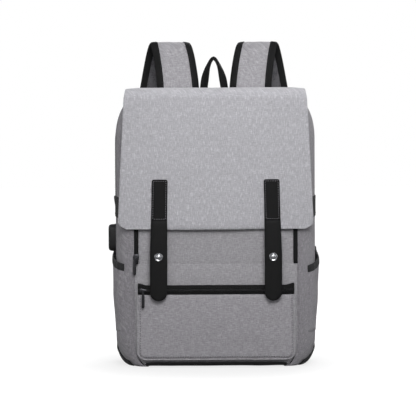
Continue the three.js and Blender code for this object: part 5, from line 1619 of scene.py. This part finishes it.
for side, label in ((-1, "left"), (1, "right")):
    line = [Vector((p.x * -side, p.y, p.z)) for p in left_line]
    frames = []
    for i, centre in enumerate(line):
        ahead = (line[min(i + 1, len(line) - 1)] - line[max(i - 1, 0)]).normalized()
        across = (Vector((1, 0, 0)) - ahead * ahead.x).normalized()
        width = SHOULDER_HALF * (1 + (SHOULDER_END - 1) * i / (len(line) - 1))
        frames.append((centre, across, ahead.cross(across), width))
    rings = []
    for i, (centre, across, face, width) in enumerate(frames):
        at = i / (len(frames) - 1)
        ring = []
        shares = [-1, -0.86, -0.68, -0.45, -0.2, 0, 0.2, 0.45, 0.68, 0.86, 1]
        for a in shares:
            lump = 0.35 * ripple(centre + across * width * a, 34, 3 + side)
            thick = pad_half_thickness(a) + lump * (1 - abs(a))
            ring.append(centre + across * (width - 1.4) * a - face * thick)
        for a in reversed(shares):
            ring.append(centre + across * (width - 1.4) * a + face * pad_half_thickness(a) * 0.92)
        rings.append(ring)
    pad = loft(f"shoulder_pad_{label}_cloth", rings, [heather_strap, strap_mesh], 70)
    for face_poly in pad.data.polygons:
        if len(face_poly.vertices) == 4:
            column = min(v % 22 for v in face_poly.vertices)
            wrap = {v % 22 for v in face_poly.vertices} == {0, 21}
            if column >= 11 and not wrap:
                face_poly.material_index = 1
    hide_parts(f"shoulder_pad_{label}")
    for edge in (-1, 1):
        rings = []
        for i, (centre, across, face, width) in enumerate(frames):
            ring = []
            reach = BINDING / width
            lip = ((1 - reach, 0.75), (1 - reach * 0.5, 0.85), (1 - reach * 0.12, 0.8), (1.0, 0.2))
            for a, lift in lip:
                thick = pad_half_thickness(a) + lift
                ring.append(centre + across * (width - 0.4) * a * edge - face * thick)
            ring.append(centre + across * (width + 0.7) * edge)
            for a, lift in reversed(lip):
                thick = pad_half_thickness(a) + lift
                ring.append(centre + across * (width - 0.4) * a * edge + face * thick)
            ring.append(centre + across * (width - BINDING + 0.8) * edge)
            rings.append(ring)
        side_name = "outer" if edge == side else "inner"
        tape = loft(f"shoulder_binding_{label}_{side_name}", rings, [binding_tape], 50)
        if edge == side:
            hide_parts(f"shoulder_binding_{label}")
        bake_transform(tape)
        row = []
        for centre, across, face, width in frames:
            row.append(centre + across * (width - BINDING + 1.6) * edge
                       - face * (pad_half_thickness(1 - (BINDING - 1.6) / width) + 0.85))
        outs = [-f[2] for f in frames]
        stitches = bars(f"shoulder_stitches_{label}_{side_name}", walk(row, outs, 4.0), 2.7, 0.6, 0.5,
                        black_thread)
        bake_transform(stitches)
    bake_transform(pad)
    # The lower end: a folded tape across the pad, which also holds the ladder lock's top bar.
    centre, across, face, width = frames[-1]
    ahead = (line[-1] - line[-2]).normalized()
    ring = [(a, b) for a, b in rounded_ring(SHOULDER_THICKNESS / 2 - 1.4, 5.5, 2.6)]
    rings = [[centre + across * (width + 1.0) * a + face * p - ahead * (4.5 + q) for p, q in ring]
             for a in spaced(-1, 1, 15)]
    end_tape = loft(f"shoulder_end_tape_{label}", rings, [binding_tape], 50)
    place(end_tape, f"shoulder_{label}", "black_fabric")

    # Ladder lock: a moulded frame with rounded bars; the middle one grips the webbing.
    lock_low, lock_high = extent(f"ladder_lock_{label}")
    middle, half = (lock_low + lock_high) / 2, (lock_high - lock_low) / 2
    bar = 2.0
    moulded = bpy.data.materials.get("moulded plastic") or finish_look("moulded plastic", WEAR, {
        "Base": linear(0x17171A), "Rubbed": linear(0x2E2E31), "Roughness": 0.42,
        "Grain per metre": 2600.0}, 0.05)
    rim = rounded_ring(half.x - bar, half.z - bar, 5.0, 6)
    rings = []
    for a, b in rim:
        out = Vector((a / (half.x - bar), 0, b / (half.z - bar))).normalized()
        rings.append([middle + Vector((a, 0, b)) + out * bar * p + Vector((0, q * half.y * 0.9, 0))
                      for p, q in ((-1, -0.5), (-0.6, -0.9), (0.5, -1), (1, -0.6), (1, 0.6), (0.5, 1),
                                   (-0.6, 0.9), (-1, 0.5))])
    place(loft(f"ladder_lock_frame_{label}", rings, [moulded], 50, closed=True), f"shoulder_{label}",
          "black_plastic", f"ladder_lock_{label}")
    rings = [[middle + Vector((x, q * half.y * 0.75, p * bar)) for p, q in ring_section(1.0, 10)]
             for x in spaced(-half.x + bar, half.x - bar, 9)]
    place(loft(f"ladder_lock_bar_{label}", rings, [moulded], 50), f"shoulder_{label}", "black_plastic")

    # Webbing: a tab from the pad over the top bar, the run down to the patch, and the tail.
    def band(name, points, count, half_width, thickness, body, nodes=(), fold_end=False):
        path = smooth_line([(x * -side, y, z) for x, y, z in points], count)
        made = []
        for i, centre in enumerate(path):
            ahead = (path[min(i + 1, count - 1)] - path[max(i - 1, 0)]).normalized()
            across = (Vector((1, 0, 0)) - ahead * ahead.x).normalized()
            face = ahead.cross(across)
            thick = thickness / 2 * (1.9 if fold_end and i > count * 0.86 else 1)
            made.append([centre + across * half_width * a + face * thick * b for a, b in (
                (-1, -0.4), (-0.95, -0.95), (-0.5, -1), (0, -1), (0.5, -1), (0.95, -0.95), (1, -0.4),
                (1, 0.4), (0.95, 0.95), (0.5, 1), (0, 1), (-0.5, 1), (-0.95, 0.95), (-1, 0.4))])
        return place(loft(name, made, [webbing_look], 60), body, "webbing", *nodes)

    top_bar = middle + Vector((0, 0, half.z - bar))
    tab_path = [(107.5, 214), (top_bar.y + 5.2, top_bar.z + 7), (top_bar.y + 4.6, top_bar.z),
                (top_bar.y + 1.2, top_bar.z - 4.4), (top_bar.y - 3.4, top_bar.z - 3.0),
                (top_bar.y - 4.9, top_bar.z + 2), (top_bar.y - 2.8, top_bar.z + 9), (101.5, 213)]
    tab_points = [(-abs(top_bar.x), y, z) for y, z in tab_path]
    band(f"lock_tab_{label}", tab_points, 34, 12.5, 1.4, f"shoulder_{label}")
    run_points = [(-116.9, 104.6, 190.5), (-117.0, 101.2, 186.0), (-117.5, 99.6, 176), (-122.3, 94.9, 142),
                  (-129, 83.9, 96), (-134, 72.9, 60), (-136, 69, 46), (-136, 67.5, 40)]
    band(f"webbing_run_{label}", run_points, 60, 12.5, 1.6, f"shoulder_{label}", [f"webbing_{label}"])
    tail_points = [(-116.7, 105.4, 188.0), (-116.6, 105.8, 181), (-116.5, 104.4, 176),
                   (-117.5, 108, 122), (-118, 106.5, 74)]
    band(f"webbing_tail_end_{label}", tail_points, 50, 12.5, 1.6, f"webbing_tail_{label}",
         [f"webbing_tail_{label}"], True)
    # The lower end is folded into the corner patch.
    foot_points = [(-136, BACK_Y + 1.6, 30), (-136, BACK_Y + 3.0, 34), (-136, 67.0, 40), (-136, 69.4, 46.5)]
    band(f"webbing_foot_{label}", foot_points, 16, 13.0, 3.0, "root", [f"anchor_patch_{label}"])
